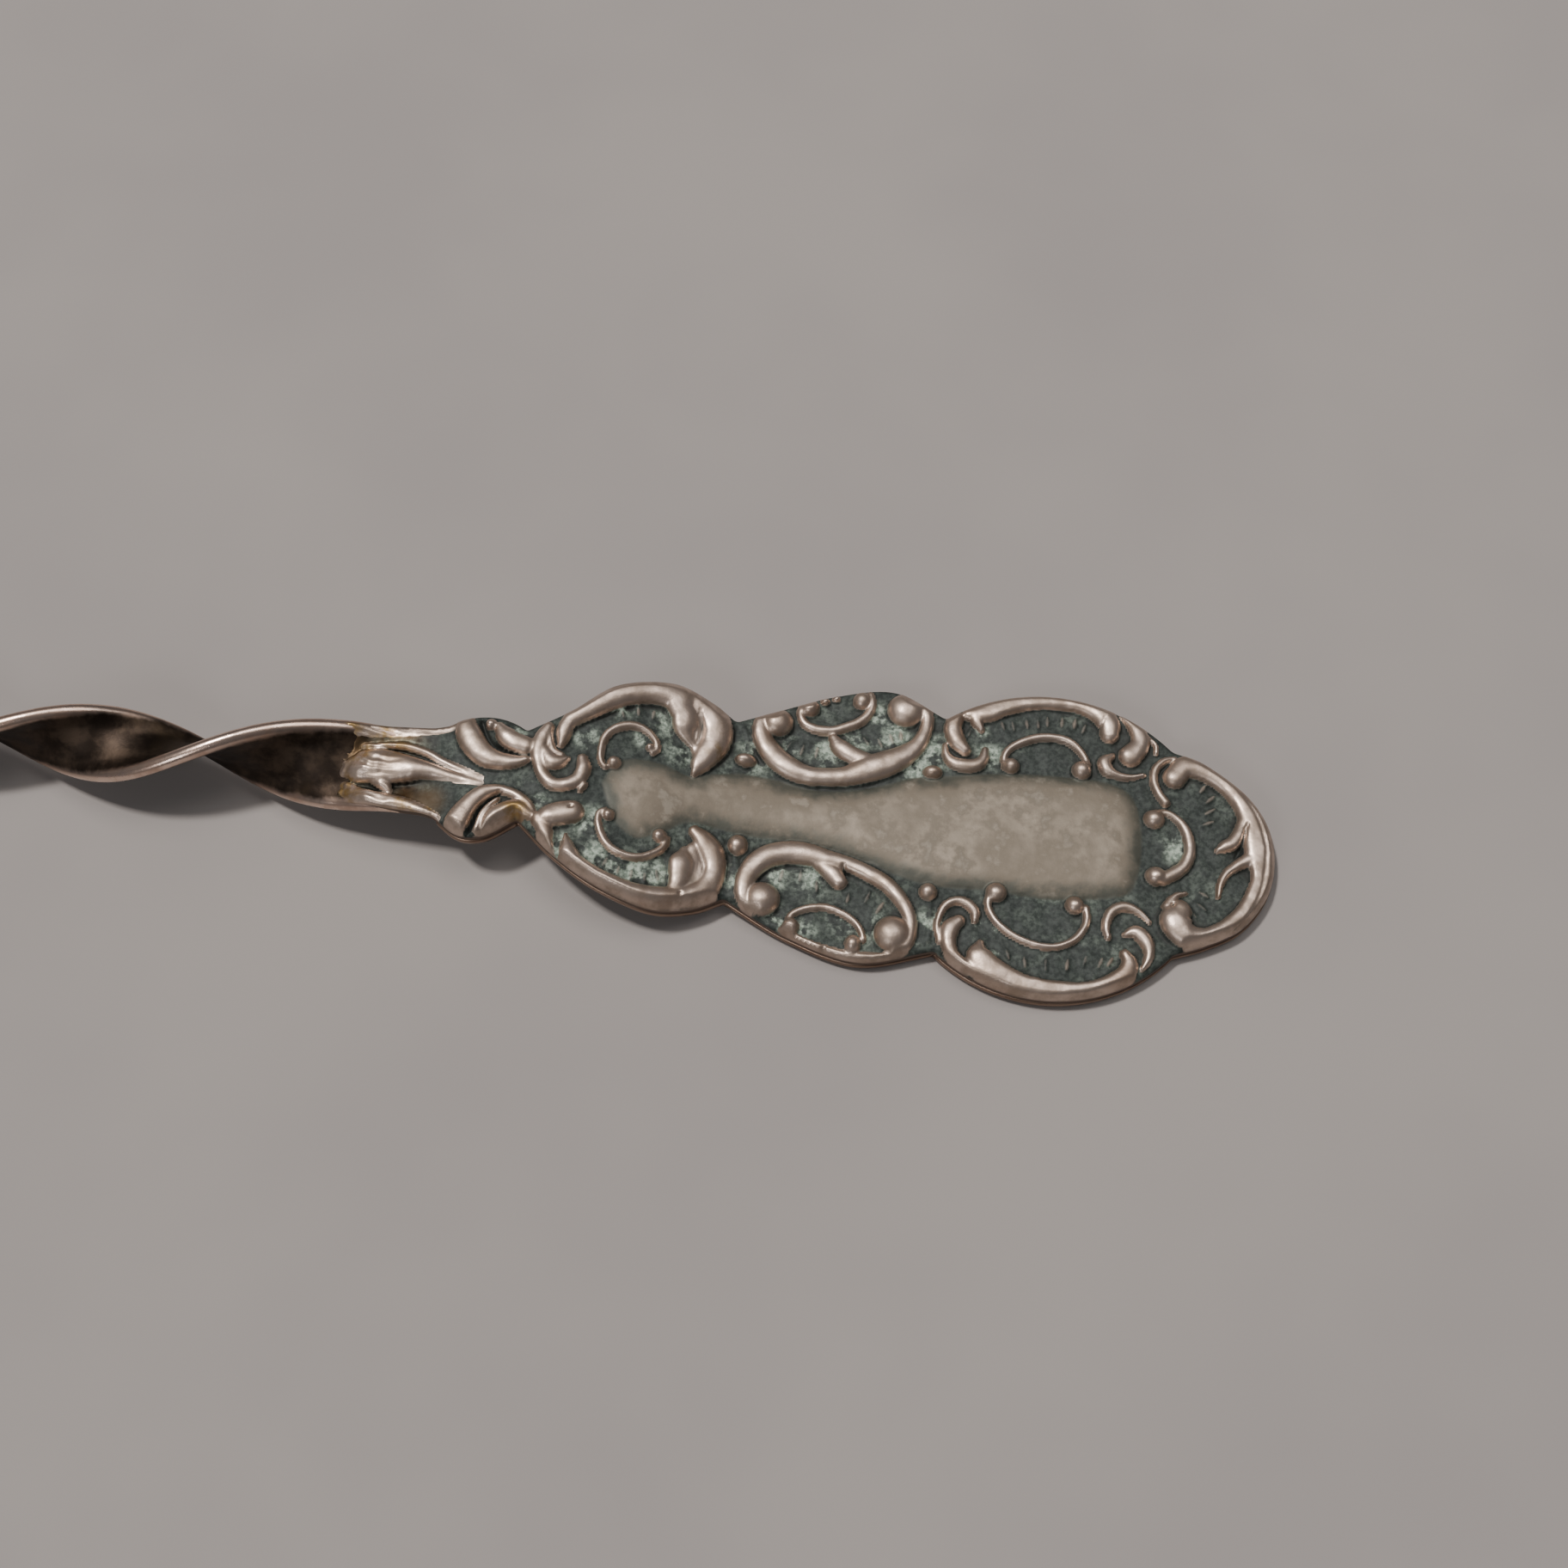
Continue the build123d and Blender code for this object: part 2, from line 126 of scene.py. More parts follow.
# Scrolls and leaves: points of (x, y, half width) along the middle
SCROLLS = [
    # neck, upper ear
    [(-3.5, 2.95, .35), (-3.3, 2.3, .5), (-2.8, 1.55, .55), (-2.1, .95, .5), (-1.3, .75, .38),
     (-.5, .8, .28), (.05, .95, .15)],
    [(-1.65, 2.7, .2), (-1.25, 2.25, .4), (-.7, 1.9, .45), (-.1, 1.75, .4)],
    # neck, lower ear
    [(-3.05, -3.4, .35), (-3, -2.9, .5), (-2.6, -2, .42), (-1.95, -1.2, .33), (-1.1, -.9, .2),
     (-.2, -1.1, .2), (.5, -1.55, .18), (.85, -1.9, .1)],
    [(-1.95, -3.3, .1), (-1.8, -2.5, .14), (-1.5, -1.85, .12), (-1.1, -1.45, .08)],
    [(-1.45, -3.2, .2), (-1.15, -2.7, .45), (-.6, -2.2, .48), (.1, -1.95, .42), (.7, -2.15, .2)],
    # first lobe, top
    [(.95, 2.95, .22), (.7, 2.3, .32), (.6, 1.6, .32), (.75, .85, .26), (1.1, .15, .25), (1.65, -.28, .27),
     (2.35, -.22, .28), (2.9, .15, .29), (3.12, .8, .29), (2.98, 1.35, .2)],
    [(.95, 1.5, .25), (1.35, 1, .35), (1.8, 1, .28), (2.2, 1.25, .08)],
    [(1.1, 2.75, .08), (1.2, 2.1, .12), (1.45, 1.6, .12), (1.9, 1.45, .08)],
    [(2.1, 3.7, .3), (1.85, 3, .32), (1.8, 2.5, .28), (1.75, 2, .12)],
    [(3.3, -.1, .1), (3.1, -.45, .08)],
    [(7.6, 5.6, .65), (8.05, 4.9, .62), (8.1, 4.2, .55), (8.25, 3.75, .34), (8.65, 3.15, .08)],
    [(8.2, 5.9, .5), (9.2, 5.4, .65), (9.75, 4.6, .65), (9.75, 3.7, .62), (9.4, 2.9, .52), (9.05, 2.2, .38),
     (8.85, 1.75, .15)],
    [(4.25, 1.05, .07), (3.98, 1.35, .1), (3.87, 1.9, .12), (3.95, 2.7, .14), (4.35, 3.3, .16),
     (5, 3.65, .17), (5.6, 3.72, .16), (6.2, 3.5, .13), (6.65, 3.05, .11), (6.78, 2.6, .09),
     (6.55, 2.35, .07)],
    # first lobe, bottom
    [(1.25, -2.45, .3), (1.7, -2.15, .48), (2.3, -1.92, .52), (2.85, -1.75, .5)],
    [(1.2, -2.3, .3), (1.6, -2.9, .32), (1.75, -3.6, .28), (2, -4.25, .22), (2.5, -4.7, .12)],
    [(8.85, -2.8, .2), (8.8, -3.4, .52), (8.8, -4.1, .5), (8.7, -4.8, .38), (8.4, -5.5, .3)],
    [(9.65, -3, .08), (9.82, -3.7, .15), (9.7, -4.4, .18), (9.4, -5, .15), (9.1, -5.35, .06)],
    [(4.55, -1.32, .08), (4.27, -1.55, .11), (4.25, -2, .12), (4.45, -2.6, .13), (4.8, -3.15, .14),
     (5.3, -3.5, .15), (6, -3.68, .15), (6.7, -3.6, .14), (7.3, -3.25, .13), (7.75, -2.8, .12),
     (7.88, -2.3, .1)],
    # second lobe, top
    [(16.05, 4.9, .2), (16.45, 4.4, .38), (17.1, 4, .4), (17.9, 3.7, .4), (18.7, 3.6, .3)],
    [(14.15, 6.7, .12), (14.15, 6.1, .15), (14.45, 5.6, .18), (15.1, 5.35, .2), (15.9, 5.35, .2),
     (16.7, 5.65, .2), (17.4, 6.05, .2), (17.85, 6.6, .18), (18, 7.2, .15), (17.85, 7.75, .12)],
    # second lobe, bottom
    [(15.9, -2.4, .3), (16.6, -2.9, .38), (17.05, -3.35, .35)],
    [(14.55, -6, .1), (14.7, -5.5, .12), (15.2, -5.15, .13), (15.9, -4.93, .14), (16.6, -4.9, .14),
     (17.3, -5.1, .13), (17.95, -5.45, .12), (18.4, -5.95, .11), (18.6, -6.5, .1)],
    # third lobe, top
    [(22.6, 6.75, .32), (22.5, 6.1, .38), (22.75, 5.4, .38), (23.2, 4.9, .25)],
    [(23.7, 7.1, .28), (23.75, 6.7, .28), (24.05, 6.2, .1)],
    [(22.12, 5.15, .06), (22.2, 4.6, .15), (22.55, 4.15, .25), (23.2, 3.97, .3), (23.9, 4.1, .28),
     (24.25, 4.55, .2), (24.3, 5.05, .1)],
    [(31.7, 7.8, .12), (32.3, 7.2, .3), (32.62, 6.6, .38), (32.6, 6, .42), (32.15, 5.4, .5)],
    [(31.2, 5.35, .1), (30.8, 4.95, .28), (30.95, 4.45, .28), (31.5, 4.2, .16), (32.2, 4.15, .1),
     (32.9, 4.35, .06)],
    [(33.1, 6.6, .06), (33.5, 6.2, .07), (33.55, 5.7, .05)],
    [(25.4, 4.1, .1), (25.35, 4.7, .12), (25.65, 5.25, .14), (26.3, 5.7, .16), (27.1, 6.02, .17),
     (28, 6.12, .17), (28.7, 6, .16), (29.25, 5.65, .15), (29.65, 5.15, .13), (29.9, 4.7, .1)],
    # third lobe, bottom
    [(24.3, -4.85, .1), (24.25, -4.35, .2), (23.85, -3.95, .2), (23.3, -3.82, .17), (22.75, -4.1, .15),
     (22.45, -4.7, .12), (22.35, -5.4, .1), (22.5, -6.2, .06)],
    [(23.45, -4.95, .25), (23.05, -5.4, .36), (22.98, -6.1, .32), (23.25, -6.8, .26), (23.85, -7.3, .24),
     (24.6, -7.55, .2)],
    [(33.4, -4.05, .05), (32.8, -3.55, .13), (32.1, -3.32, .2), (31.5, -3.55, .2), (31.2, -4.05, .17),
     (31.12, -4.6, .15), (31.25, -5.1, .1)],
    [(32.15, -4.85, .1), (32.65, -4.68, .28), (33.15, -5.05, .3), (33.38, -5.65, .22), (33.3, -6.2, .15),
     (33.05, -6.7, .06)],
    [(24.95, -3.4, .14), (24.95, -4, .13), (25.25, -4.6, .13), (25.75, -5.1, .13), (26.4, -5.5, .13),
     (27.2, -5.8, .13), (28, -5.92, .13), (28.8, -5.8, .13), (29.5, -5.4, .13), (29.95, -4.8, .13),
     (30.12, -4.2, .12), (30.05, -3.6, .12)],
    # end lobe
    [(34.3, -3.1, .22), (34.45, -2.75, .15), (34.8, -2.4, .1), (35.25, -2.25, .04)],
    [(38.2, 2.1, .2), (38.05, 1.4, .28), (37.7, .85, .28), (37.3, .6, .25), (36.9, .35, .1)],
    [(38.5, -.05, .3), (37.9, -.45, .2), (37.35, -.95, .15), (37.05, -1.6, .12), (36.95, -2.3, .04)],
    [(34.6, 5.5, .06), (34, 5.3, .13), (33.55, 4.8, .15), (33.45, 4.1, .16), (33.7, 3.4, .16),
     (34.1, 2.85, .18)],
    [(33.6, 2.25, .1), (34.25, 2.2, .14), (34.8, 1.85, .16), (35.2, 1.3, .2), (35.4, .6, .22),
     (35.4, -.1, .23), (35.1, -.75, .25), (34.6, -1.2, .27), (34, -1.6, .25)],
]

# Rims: the same, but they slope all the way down to the outline on their outer side
RIMS = [
    [(2.2, 3.6, .35), (3, 4.35, .5), (4, 5.1, .55), (5, 5.6, .55), (6, 5.85, .55), (7, 5.9, .62),
     (7.8, 5.7, .7)],
    [(2.7, -3.05, .04), (2.85, -3.5, .2), (3, -4, .38), (3.3, -4.6, .5), (4.1, -5, .45), (5, -5.35, .45),
     (6, -5.6, .45), (7, -5.7, .45), (8, -5.65, .5), (9, -5.45, .5), (9.8, -4.95, .45), (10.3, -4.3, .42),
     (10.5, -3.5, .45), (10.3, -2.7, .5), (9.8, -2.05, .45), (9.25, -1.6, .25)],
    [(12.6, 5.95, .25), (12.15, 5.5, .32), (12.1, 4.9, .38), (12.4, 4.15, .45), (13, 3.45, .5),
     (13.9, 2.85, .5), (14.9, 2.55, .43), (16, 2.58, .4), (17, 2.75, .45), (18, 3.2, .6), (19, 3.65, .6),
     (19.9, 4.2, .5), (20.6, 4.9, .36), (20.95, 5.7, .28), (21.05, 6.4, .26), (20.9, 7, .28),
     (20.5, 7.5, .3), (19.9, 7.7, .25)],
    [(12.5, -5.3, .25), (12.15, -4.6, .35), (12.2, -3.7, .42), (12.6, -2.9, .48), (13.3, -2.3, .5),
     (14.3, -2, .5), (15.3, -2, .48), (16.3, -2.2, .42), (17.4, -2.35, .33), (18.5, -2.75, .33),
     (19.5, -3.25, .33), (20.3, -4, .3), (20.85, -4.9, .27), (21, -5.7, .25), (20.8, -6.4, .28),
     (20.35, -6.9, .25)],
    [(23.3, 7, .25), (24.3, 7.15, .35), (25.2, 7.6, .33), (26.2, 7.95, .3), (27.3, 8.15, .28),
     (28.4, 8.2, .28), (29.4, 8.1, .3), (30.3, 7.8, .42), (30.9, 7.2, .46), (31, 6.6, .4)],
    [(24.65, -6.05, .12), (24.65, -6.6, .42), (25.05, -7.05, .42), (25.8, -7.45, .35), (26.8, -7.8, .25),
     (27.8, -7.95, .2), (28.8, -8, .18), (29.8, -7.95, .18), (30.7, -7.75, .2), (31.5, -7.4, .25),
     (32.15, -6.9, .28), (32.35, -6.35, .28), (32.15, -5.95, .2)],
    [(34.55, 4.35, .5), (35.1, 4.95, .45), (36, 4.9, .45), (36.9, 4.45, .42), (37.6, 3.8, .38),
     (38.1, 3.1, .36), (38.45, 2.3, .38), (38.65, 1.5, .42), (38.75, .7, .4), (38.8, -.1, .3),
     (38.9, -.9, .17), (38.75, -1.7, .2), (38.4, -2.55, .22), (37.85, -3.4, .26), (37.1, -4.1, .3),
     (36.2, -4.55, .35), (35.3, -4.55, .55), (34.75, -3.9, .7), (34.9, -3.3, .5)],
]

# Low silver: the web between two leaves, and the lip under the second lobe
WEBS = [
    [(8, 5.5, .7), (8.75, 4.8, .75), (9.05, 4, .65), (9, 3.2, .45), (8.95, 2.5, .2)],
    [(9.3, -2.6, .3), (9.35, -3.6, .55), (9.2, -4.6, .5)],
]
LIP = [
    (14.3, -6.2, .05), (15.4, -6.75, .1), (16.6, -7.12, .14), (17.8, -7.32, .15), (19, -7.3, .13),
    (20.2, -7.05, .05),
]

# Low ridges, as green as the ground round them
FAINT = [
    [(10.6, -1.6, .08), (11, -2.35, .08)],
    [(12.3, -1.8, .08), (12, -2.65, .08)],
    [(11.5, -2.6, .12), (11.6, -3.6, .13), (11.6, -4.8, .2)],
    [(11.6, 3.6, .15), (11.5, 4.3, .15), (11.2, 4.9, .1)],
    [(21.9, -4.1, .12), (22, -5.2, .14), (21.9, -6.2, .12)],
]

# Beads and balls: centre, radius along x and along y
BEADS = [
    (4.65, 1.4, .34, .34), (6.4, 2.62, .22, .22), (11.45, 3, .55, .36), (4.75, -1.6, .3, .3),
    (7.5, -2.25, .36, .36), (11.55, -1.95, .5, .55), (12.95, 5.5, .78, .78), (19.85, 6.95, .95, .92),
    (14.6, 6.6, .5, .5), (17.42, 7.3, .46, .5), (21.55, 3.4, .5, .37), (13.15, -4.75, .85, .85),
    (20.05, -6, .9, .9), (14.75, -6.1, .42, .42), (18.05, -6.75, .4, .46), (21.75, -3.5, .45, .45),
    (25.75, 4.2, .42, .42), (29.55, 4.3, .5, .5), (25.32, -3.2, .52, .5), (29.45, -3.52, .47, .47),
    (33.5, 1.8, .53, .5), (33.65, -1.45, .53, .5), (-2.1, 2.8, .3, .3), (15.4, 7.1, .25, .18),
    (16, 7.3, .22, .16),
]

# Grooves cut between leaves: points of (x, y, half width), and their depth
GROOVES = [
    ([(8.75, 5.3, .06), (8.95, 4.5, .09), (8.8, 3.3, .06)], .1),
    ([(-2.7, 3.1, .12), (-1.9, 1.7, .15), (-.5, 1.2, .1)], .4),
    ([(-.8, 2.5, .06), (-.1, 2.4, .06)], .2),
    ([(-2.4, -3.5, .1), (-2.2, -2.8, .13), (-1.9, -2, .13), (-1, -1.1, .1)], .35),
    ([(17.2, -2.5, .07), (17.5, -3.2, .08)], .3),
    ([(38.4, 1.9, .06), (38.1, .6, .09), (37.9, .1, .06)], .3),
    ([(2.8, -1.6, .12), (2.85, -1.55, .12)], .2),
    ([(34.55, -3.05, .12), (34.6, -3, .12)], .3),
    ([(8.9, -5.3, .1), (8.95, -5.3, .1)], .25),
    ([(16.5, -7.1, .1), (16.6, -7.1, .1)], .25),
    ([(30.45, 6.9, .05), (30.7, 7.5, .05)], .12),
    ([(35.9, 5.3, .07), (37.75, 4, .08), (38.85, 2.5, .08), (39.35, .9, .08), (39.4, 0, .08),
      (39.2, -1.6, .08), (38.5, -3.2, .08), (37.3, -4.45, .08), (36, -5, .07)], .09),
]

# Chased strokes in the ground: x, y, direction in degrees, length
HATCHES = [
    (25.2, 6.6, 110, .5), (25.75, 6.65, 105, .5), (26.5, 6.85, 98, .5), (27.1, 6.95, 94, .5),
    (27.6, 7.1, 90, .5), (28.4, 7.15, 86, .5), (29.1, 7.15, 82, .5), (29.6, 6.85, 70, .5),
    (28.1, -6.9, 90, .6), (29.2, -6.75, 84, .55), (30.1, -6.45, 75, .55), (30.9, -6.5, 70, .5),
    (31.4, -6.4, 60, .5), (27, -6.85, 98, .5), (26.1, -6.5, 108, .5), (18.6, 4.9, 120, .6),
    (19.2, 5.2, 110, .6), (19.7, 5.5, 98, .6), (17.8, 5, 125, .5), (13.7, 4.3, 60, .5), (14.4, 4.1, 75, .6),
    (15.2, 4, 85, .6), (36.4, 1.9, 25, .6), (36.5, 2.6, 35, .6), (36.5, 3.3, 45, .6), (36.1, 3.9, 58, .5),
    (36.2, -2.2, -25, .5), (36.1, -2.9, -38, .5), (35.7, -3.4, -52, .4), (5.6, -4.6, 80, .6),
    (6.3, -4.7, 88, .6), (7, -4.7, 95, .6), (7.6, -4.4, 105, .6), (4.9, -4.2, 70, .5), (4.7, 4.4, 110, .5),
    (5.5, 4.7, 98, .5), (6.3, 4.6, 85, .5), (14, -3.3, 80, .6), (15, -3.2, 88, .6), (15.9, -3.7, 95, .6),
    (18.6, -4.1, 70, .7), (19.3, -4.6, 60, .7), (17.6, -4.2, 80, .5), (2.5, -3.6, 90, .6), (23.4, 6, 70, .5),
    (24.4, 4.9, 95, .6),
]

# Edge of the sleeve over the strip, from the neck's lower corner round to its upper one
SLEEVE = [
    (-4.4, -2.6), (-5.1, -2.46), (-7, -2.36), (-8.6, -2.15), (SLEEVE_X, -1.9), (SLEEVE_X, 1.9), (-8.6, 2.15),
    (-7, 2.32), (-5.1, 2.4), (-4.4, 2.6),
]

# Leaf over the joint of strip and neck: ridges as points of (x, y, half width)
LEAF_RIDGES = [
    [(-9.5, -.3, .3), (-8.9, -.25, .6), (-8.2, -.1, .75), (-7.2, -.05, .75), (-6.2, -.05, .6),
     (-5.2, -.05, .4), (-4.2, -.2, .26), (-3.2, -.38, .2), (-2.2, -.52, .12)],
    [(-8.7, .95, .06), (-7.8, 1.12, .1), (-6.6, 1.25, .14), (-5.4, 1, .15), (-4.4, .55, .15),
     (-3.3, .15, .13), (-2.2, -.25, .1)],
    [(-7.9, -.5, .4), (-7.3, -1, .3), (-6.95, -1.4, .14)],
    [(-9.5, -1.2, .25), (-8.9, -1.6, .35), (-8.1, -1.9, .38), (-7, -2, .32), (-6, -2.08, .26),
     (-5, -2.35, .2), (-4.2, -2.65, .14)],
]
STRIP_RIM_RIDGE = [
    (-10.6, 1.85, .4), (-9, 1.9, .34), (-7, 2.08, .24), (-5, 2.28, .16), (-4.2, 2.6, .16),
]

# Pale green deposit and golden tarnish: centre and radius of each patch; the golden patch at (9.8, 3) on the
# first lobe's leaf is a painted gold glint
DEPOSITS = [
    (5.3, -4.4, .9), (6.5, -4.7, 1), (7.6, -4.5, .8), (4.3, -4, .8), (2.3, -3.6, .7), (3.8, -2.1, .8),
    (3, 2.7, .6), (7, 4.3, .7), (7.9, 2.7, .7), (5.9, 3.2, .4), (13.8, 4.2, .6), (15.8, 4, .9),
    (16.7, 4.6, .7), (17.5, 4.9, .6), (18.3, 6.6, .6), (19.3, 5.3, .9), (20.8, 3.9, 1), (13.8, -3.4, .6),
    (15.5, -3.3, .9), (15.6, -6.1, .5), (17.4, -5.7, .6), (14.1, -5.7, .6), (19, -5.8, .7), (22, -5.2, .7),
    (24.6, 4.7, .7), (21.8, 4.6, .9), (24.9, -5.1, .5), (25.5, -6.2, .4), (23.7, -6.2, .4), (34.6, .3, .7),
    (12, 3.4, .8), (11.5, -3.6, .7), (-.6, 2.6, .4), (1, -1.4, .5), (4.6, 4.9, .6), (24, 6.2, .4),
]
GOLD = [
    (-4.8, -1.8, .9), (-7.2, 1.7, 1.1), (-9.2, -1.3, .9), (-.1, -1.9, .7), (9.8, 3, .4), (-8.8, .6, .8),
    (-6, -1.9, .8), (-9.6, 1.5, 1),
]


# Lines and distances

def smooth_line(points, step=.08):
    """Points on a Catmull-Rom curve through the given ones, about step apart."""
    p = np.array(points, float)
    p = np.vstack([2 * p[0] - p[1], p, 2 * p[-1] - p[-2]])
    line = []
    for a, b, c, d in zip(p[:-3], p[1:-2], p[2:-1], p[3:]):
        n = max(2, int(math.dist(b[:2], c[:2]) / step))
        t = np.linspace(0, 1, n, endpoint=False)[:, None]
        line.append(.5 * (2 * b + (c - a) * t + (2 * a - 5 * b + 4 * c - d) * t**2
                           + (3 * b - a - 3 * c + d) * t**3))
    return np.vstack([*line, p[-2]])


def arc_line(start, middle, end, count=60):
    """Points along the circle's arc through three points."""
    (ax, ay), (bx, by), (cx, cy) = start, middle, end
    a2, b2, c2 = ax**2 + ay**2, bx**2 + by**2, cx**2 + cy**2
    d = 2 * (ax * (by - cy) + bx * (cy - ay) + cx * (ay - by))
    ux = (a2 * (by - cy) + b2 * (cy - ay) + c2 * (ay - by)) / d
    uy = (a2 * (cx - bx) + b2 * (ax - cx) + c2 * (bx - ax)) / d
    radius = math.hypot(ax - ux, ay - uy)
    t0, t1, t2 = (math.atan2(y - uy, x - ux) for x, y in (start, middle, end))
    turn = (t2 - t0) % math.tau
    if (t1 - t0) % math.tau > turn:
        turn -= math.tau
    t = t0 + np.linspace(0, 1, count) * turn
    return np.column_stack([ux + radius * np.cos(t), uy + radius * np.sin(t)])


def outline_points():
    ring = []
    for lobe in OUTLINE:
        line = arc_line(*lobe) if len(lobe) == 3 else smooth_line(lobe)
        ring.append(line[:-1])
    ring.append(np.array([OUTLINE[-1][-1]]))
    return np.vstack(ring)


def nearest(points, ring):
    """For each point: distance to a closed ring, nearest place on it, and if it is inside."""
    a, b = ring, np.roll(ring, -1, axis=0)
    edge = b - a
    length2 = (edge**2).sum(1)
    best = np.full(len(points), 1e9)
    place = np.zeros((len(points), 2))
    inside = np.zeros(len(points), bool)
    for i in range(len(ring)):
        rel = points - a[i]
        t = np.clip((rel @ edge[i]) / length2[i], 0, 1)
        foot = a[i] + t[:, None] * edge[i]
        d = np.hypot(*(points - foot).T)
        closer = d < best
        best[closer] = d[closer]
        place[closer] = foot[closer]
        crosses = (a[i, 1] > points[:, 1]) != (b[i, 1] > points[:, 1])
        if crosses.any():
            x = a[i, 0] + (points[crosses, 1] - a[i, 1]) / edge[i, 1] * edge[i, 0]
            inside[crosses] ^= points[crosses, 0] < x
    return best, place, inside


def nearest_on_grid(relief, ring):
    """The same for a relief's grid, with the distance negative outside the ring."""
    points = np.column_stack([relief.gx.ravel(), relief.gy.ravel()])
    shape = relief.gx.shape
    gap, foot, inside = (v.reshape(shape + v.shape[1:]) for v in nearest(points, ring))
    return np.where(inside, gap, -gap), foot


def lift(x):
    """How far the neck's S-bend raises the metal at x."""
    run = RISE_LOW_X - RISE_HIGH_X
    radius = (run**2 + NECK_RISE**2) / (4 * NECK_RISE)
    u = np.clip(RISE_LOW_X - np.asarray(x, float), 0, run)
    low = radius - np.sqrt(radius**2 - np.minimum(u, run / 2) ** 2)
    high = NECK_RISE - (radius - np.sqrt(radius**2 - np.minimum(run - u, run / 2) ** 2))
    return np.where(u < run / 2, low, high)


def evened(values, reach=3):
    """A closed ring of values, averaged over its neighbours on either side."""
    return sum(np.roll(values, k, axis=0) for k in range(-reach, reach + 1)) / (2 * reach + 1)


class Noise:
    """Smooth seeded noise over the plane, from -1 to 1."""

    SIZE = 256

    def __init__(self, seed):
        self.table = np.random.default_rng(seed).uniform(-1, 1, (self.SIZE, self.SIZE))

    def __call__(self, x, y, size):
        u, v = x / size + 50, y / size + 50
        i, j = np.floor(u).astype(int), np.floor(v).astype(int)
        s, t = u - i, v - j
        s, t = s * s * (3 - 2 * s), t * t * (3 - 2 * t)
        g, n = self.table, self.SIZE
        a, b = g[i % n, j % n], g[(i + 1) % n, j % n]
        c, d = g[i % n, (j + 1) % n], g[(i + 1) % n, (j + 1) % n]
        return (a * (1 - s) + b * s) * (1 - t) + (c * (1 - s) + d * s) * t


def blurred(field, mask, cells):
    """A masked field, blurred by about that many cells."""
    reach = int(cells * 2.5)
    kernel = np.exp(-.5 * (np.arange(-reach, reach + 1) / cells) ** 2)

    def smear(f):
        for axis in (0, 1):
            f = np.apply_along_axis(lambda row: np.convolve(row, kernel, "same"), axis, f)
        return f

    return smear(np.where(mask, field, 0)) / np.maximum(smear(mask.astype(float)), 1e-6)


def patches(places, x, y):
    strength = np.zeros_like(x)
    for px, py, radius in places:
        strength = np.maximum(strength, np.exp(-(((x - px) ** 2 + (y - py) ** 2) / radius**2) ** 1.5))
    return strength


# Relief

def ridge_height(width):
    """A scroll's height above the ground, up to just under the crest."""
    return np.minimum(.26 + .6 * width, CREST - GROUND - .03)


def leaf_height(width):
    return np.minimum(.2 + .75 * width, .72)


def level(height):
    return lambda width: height + 0 * width


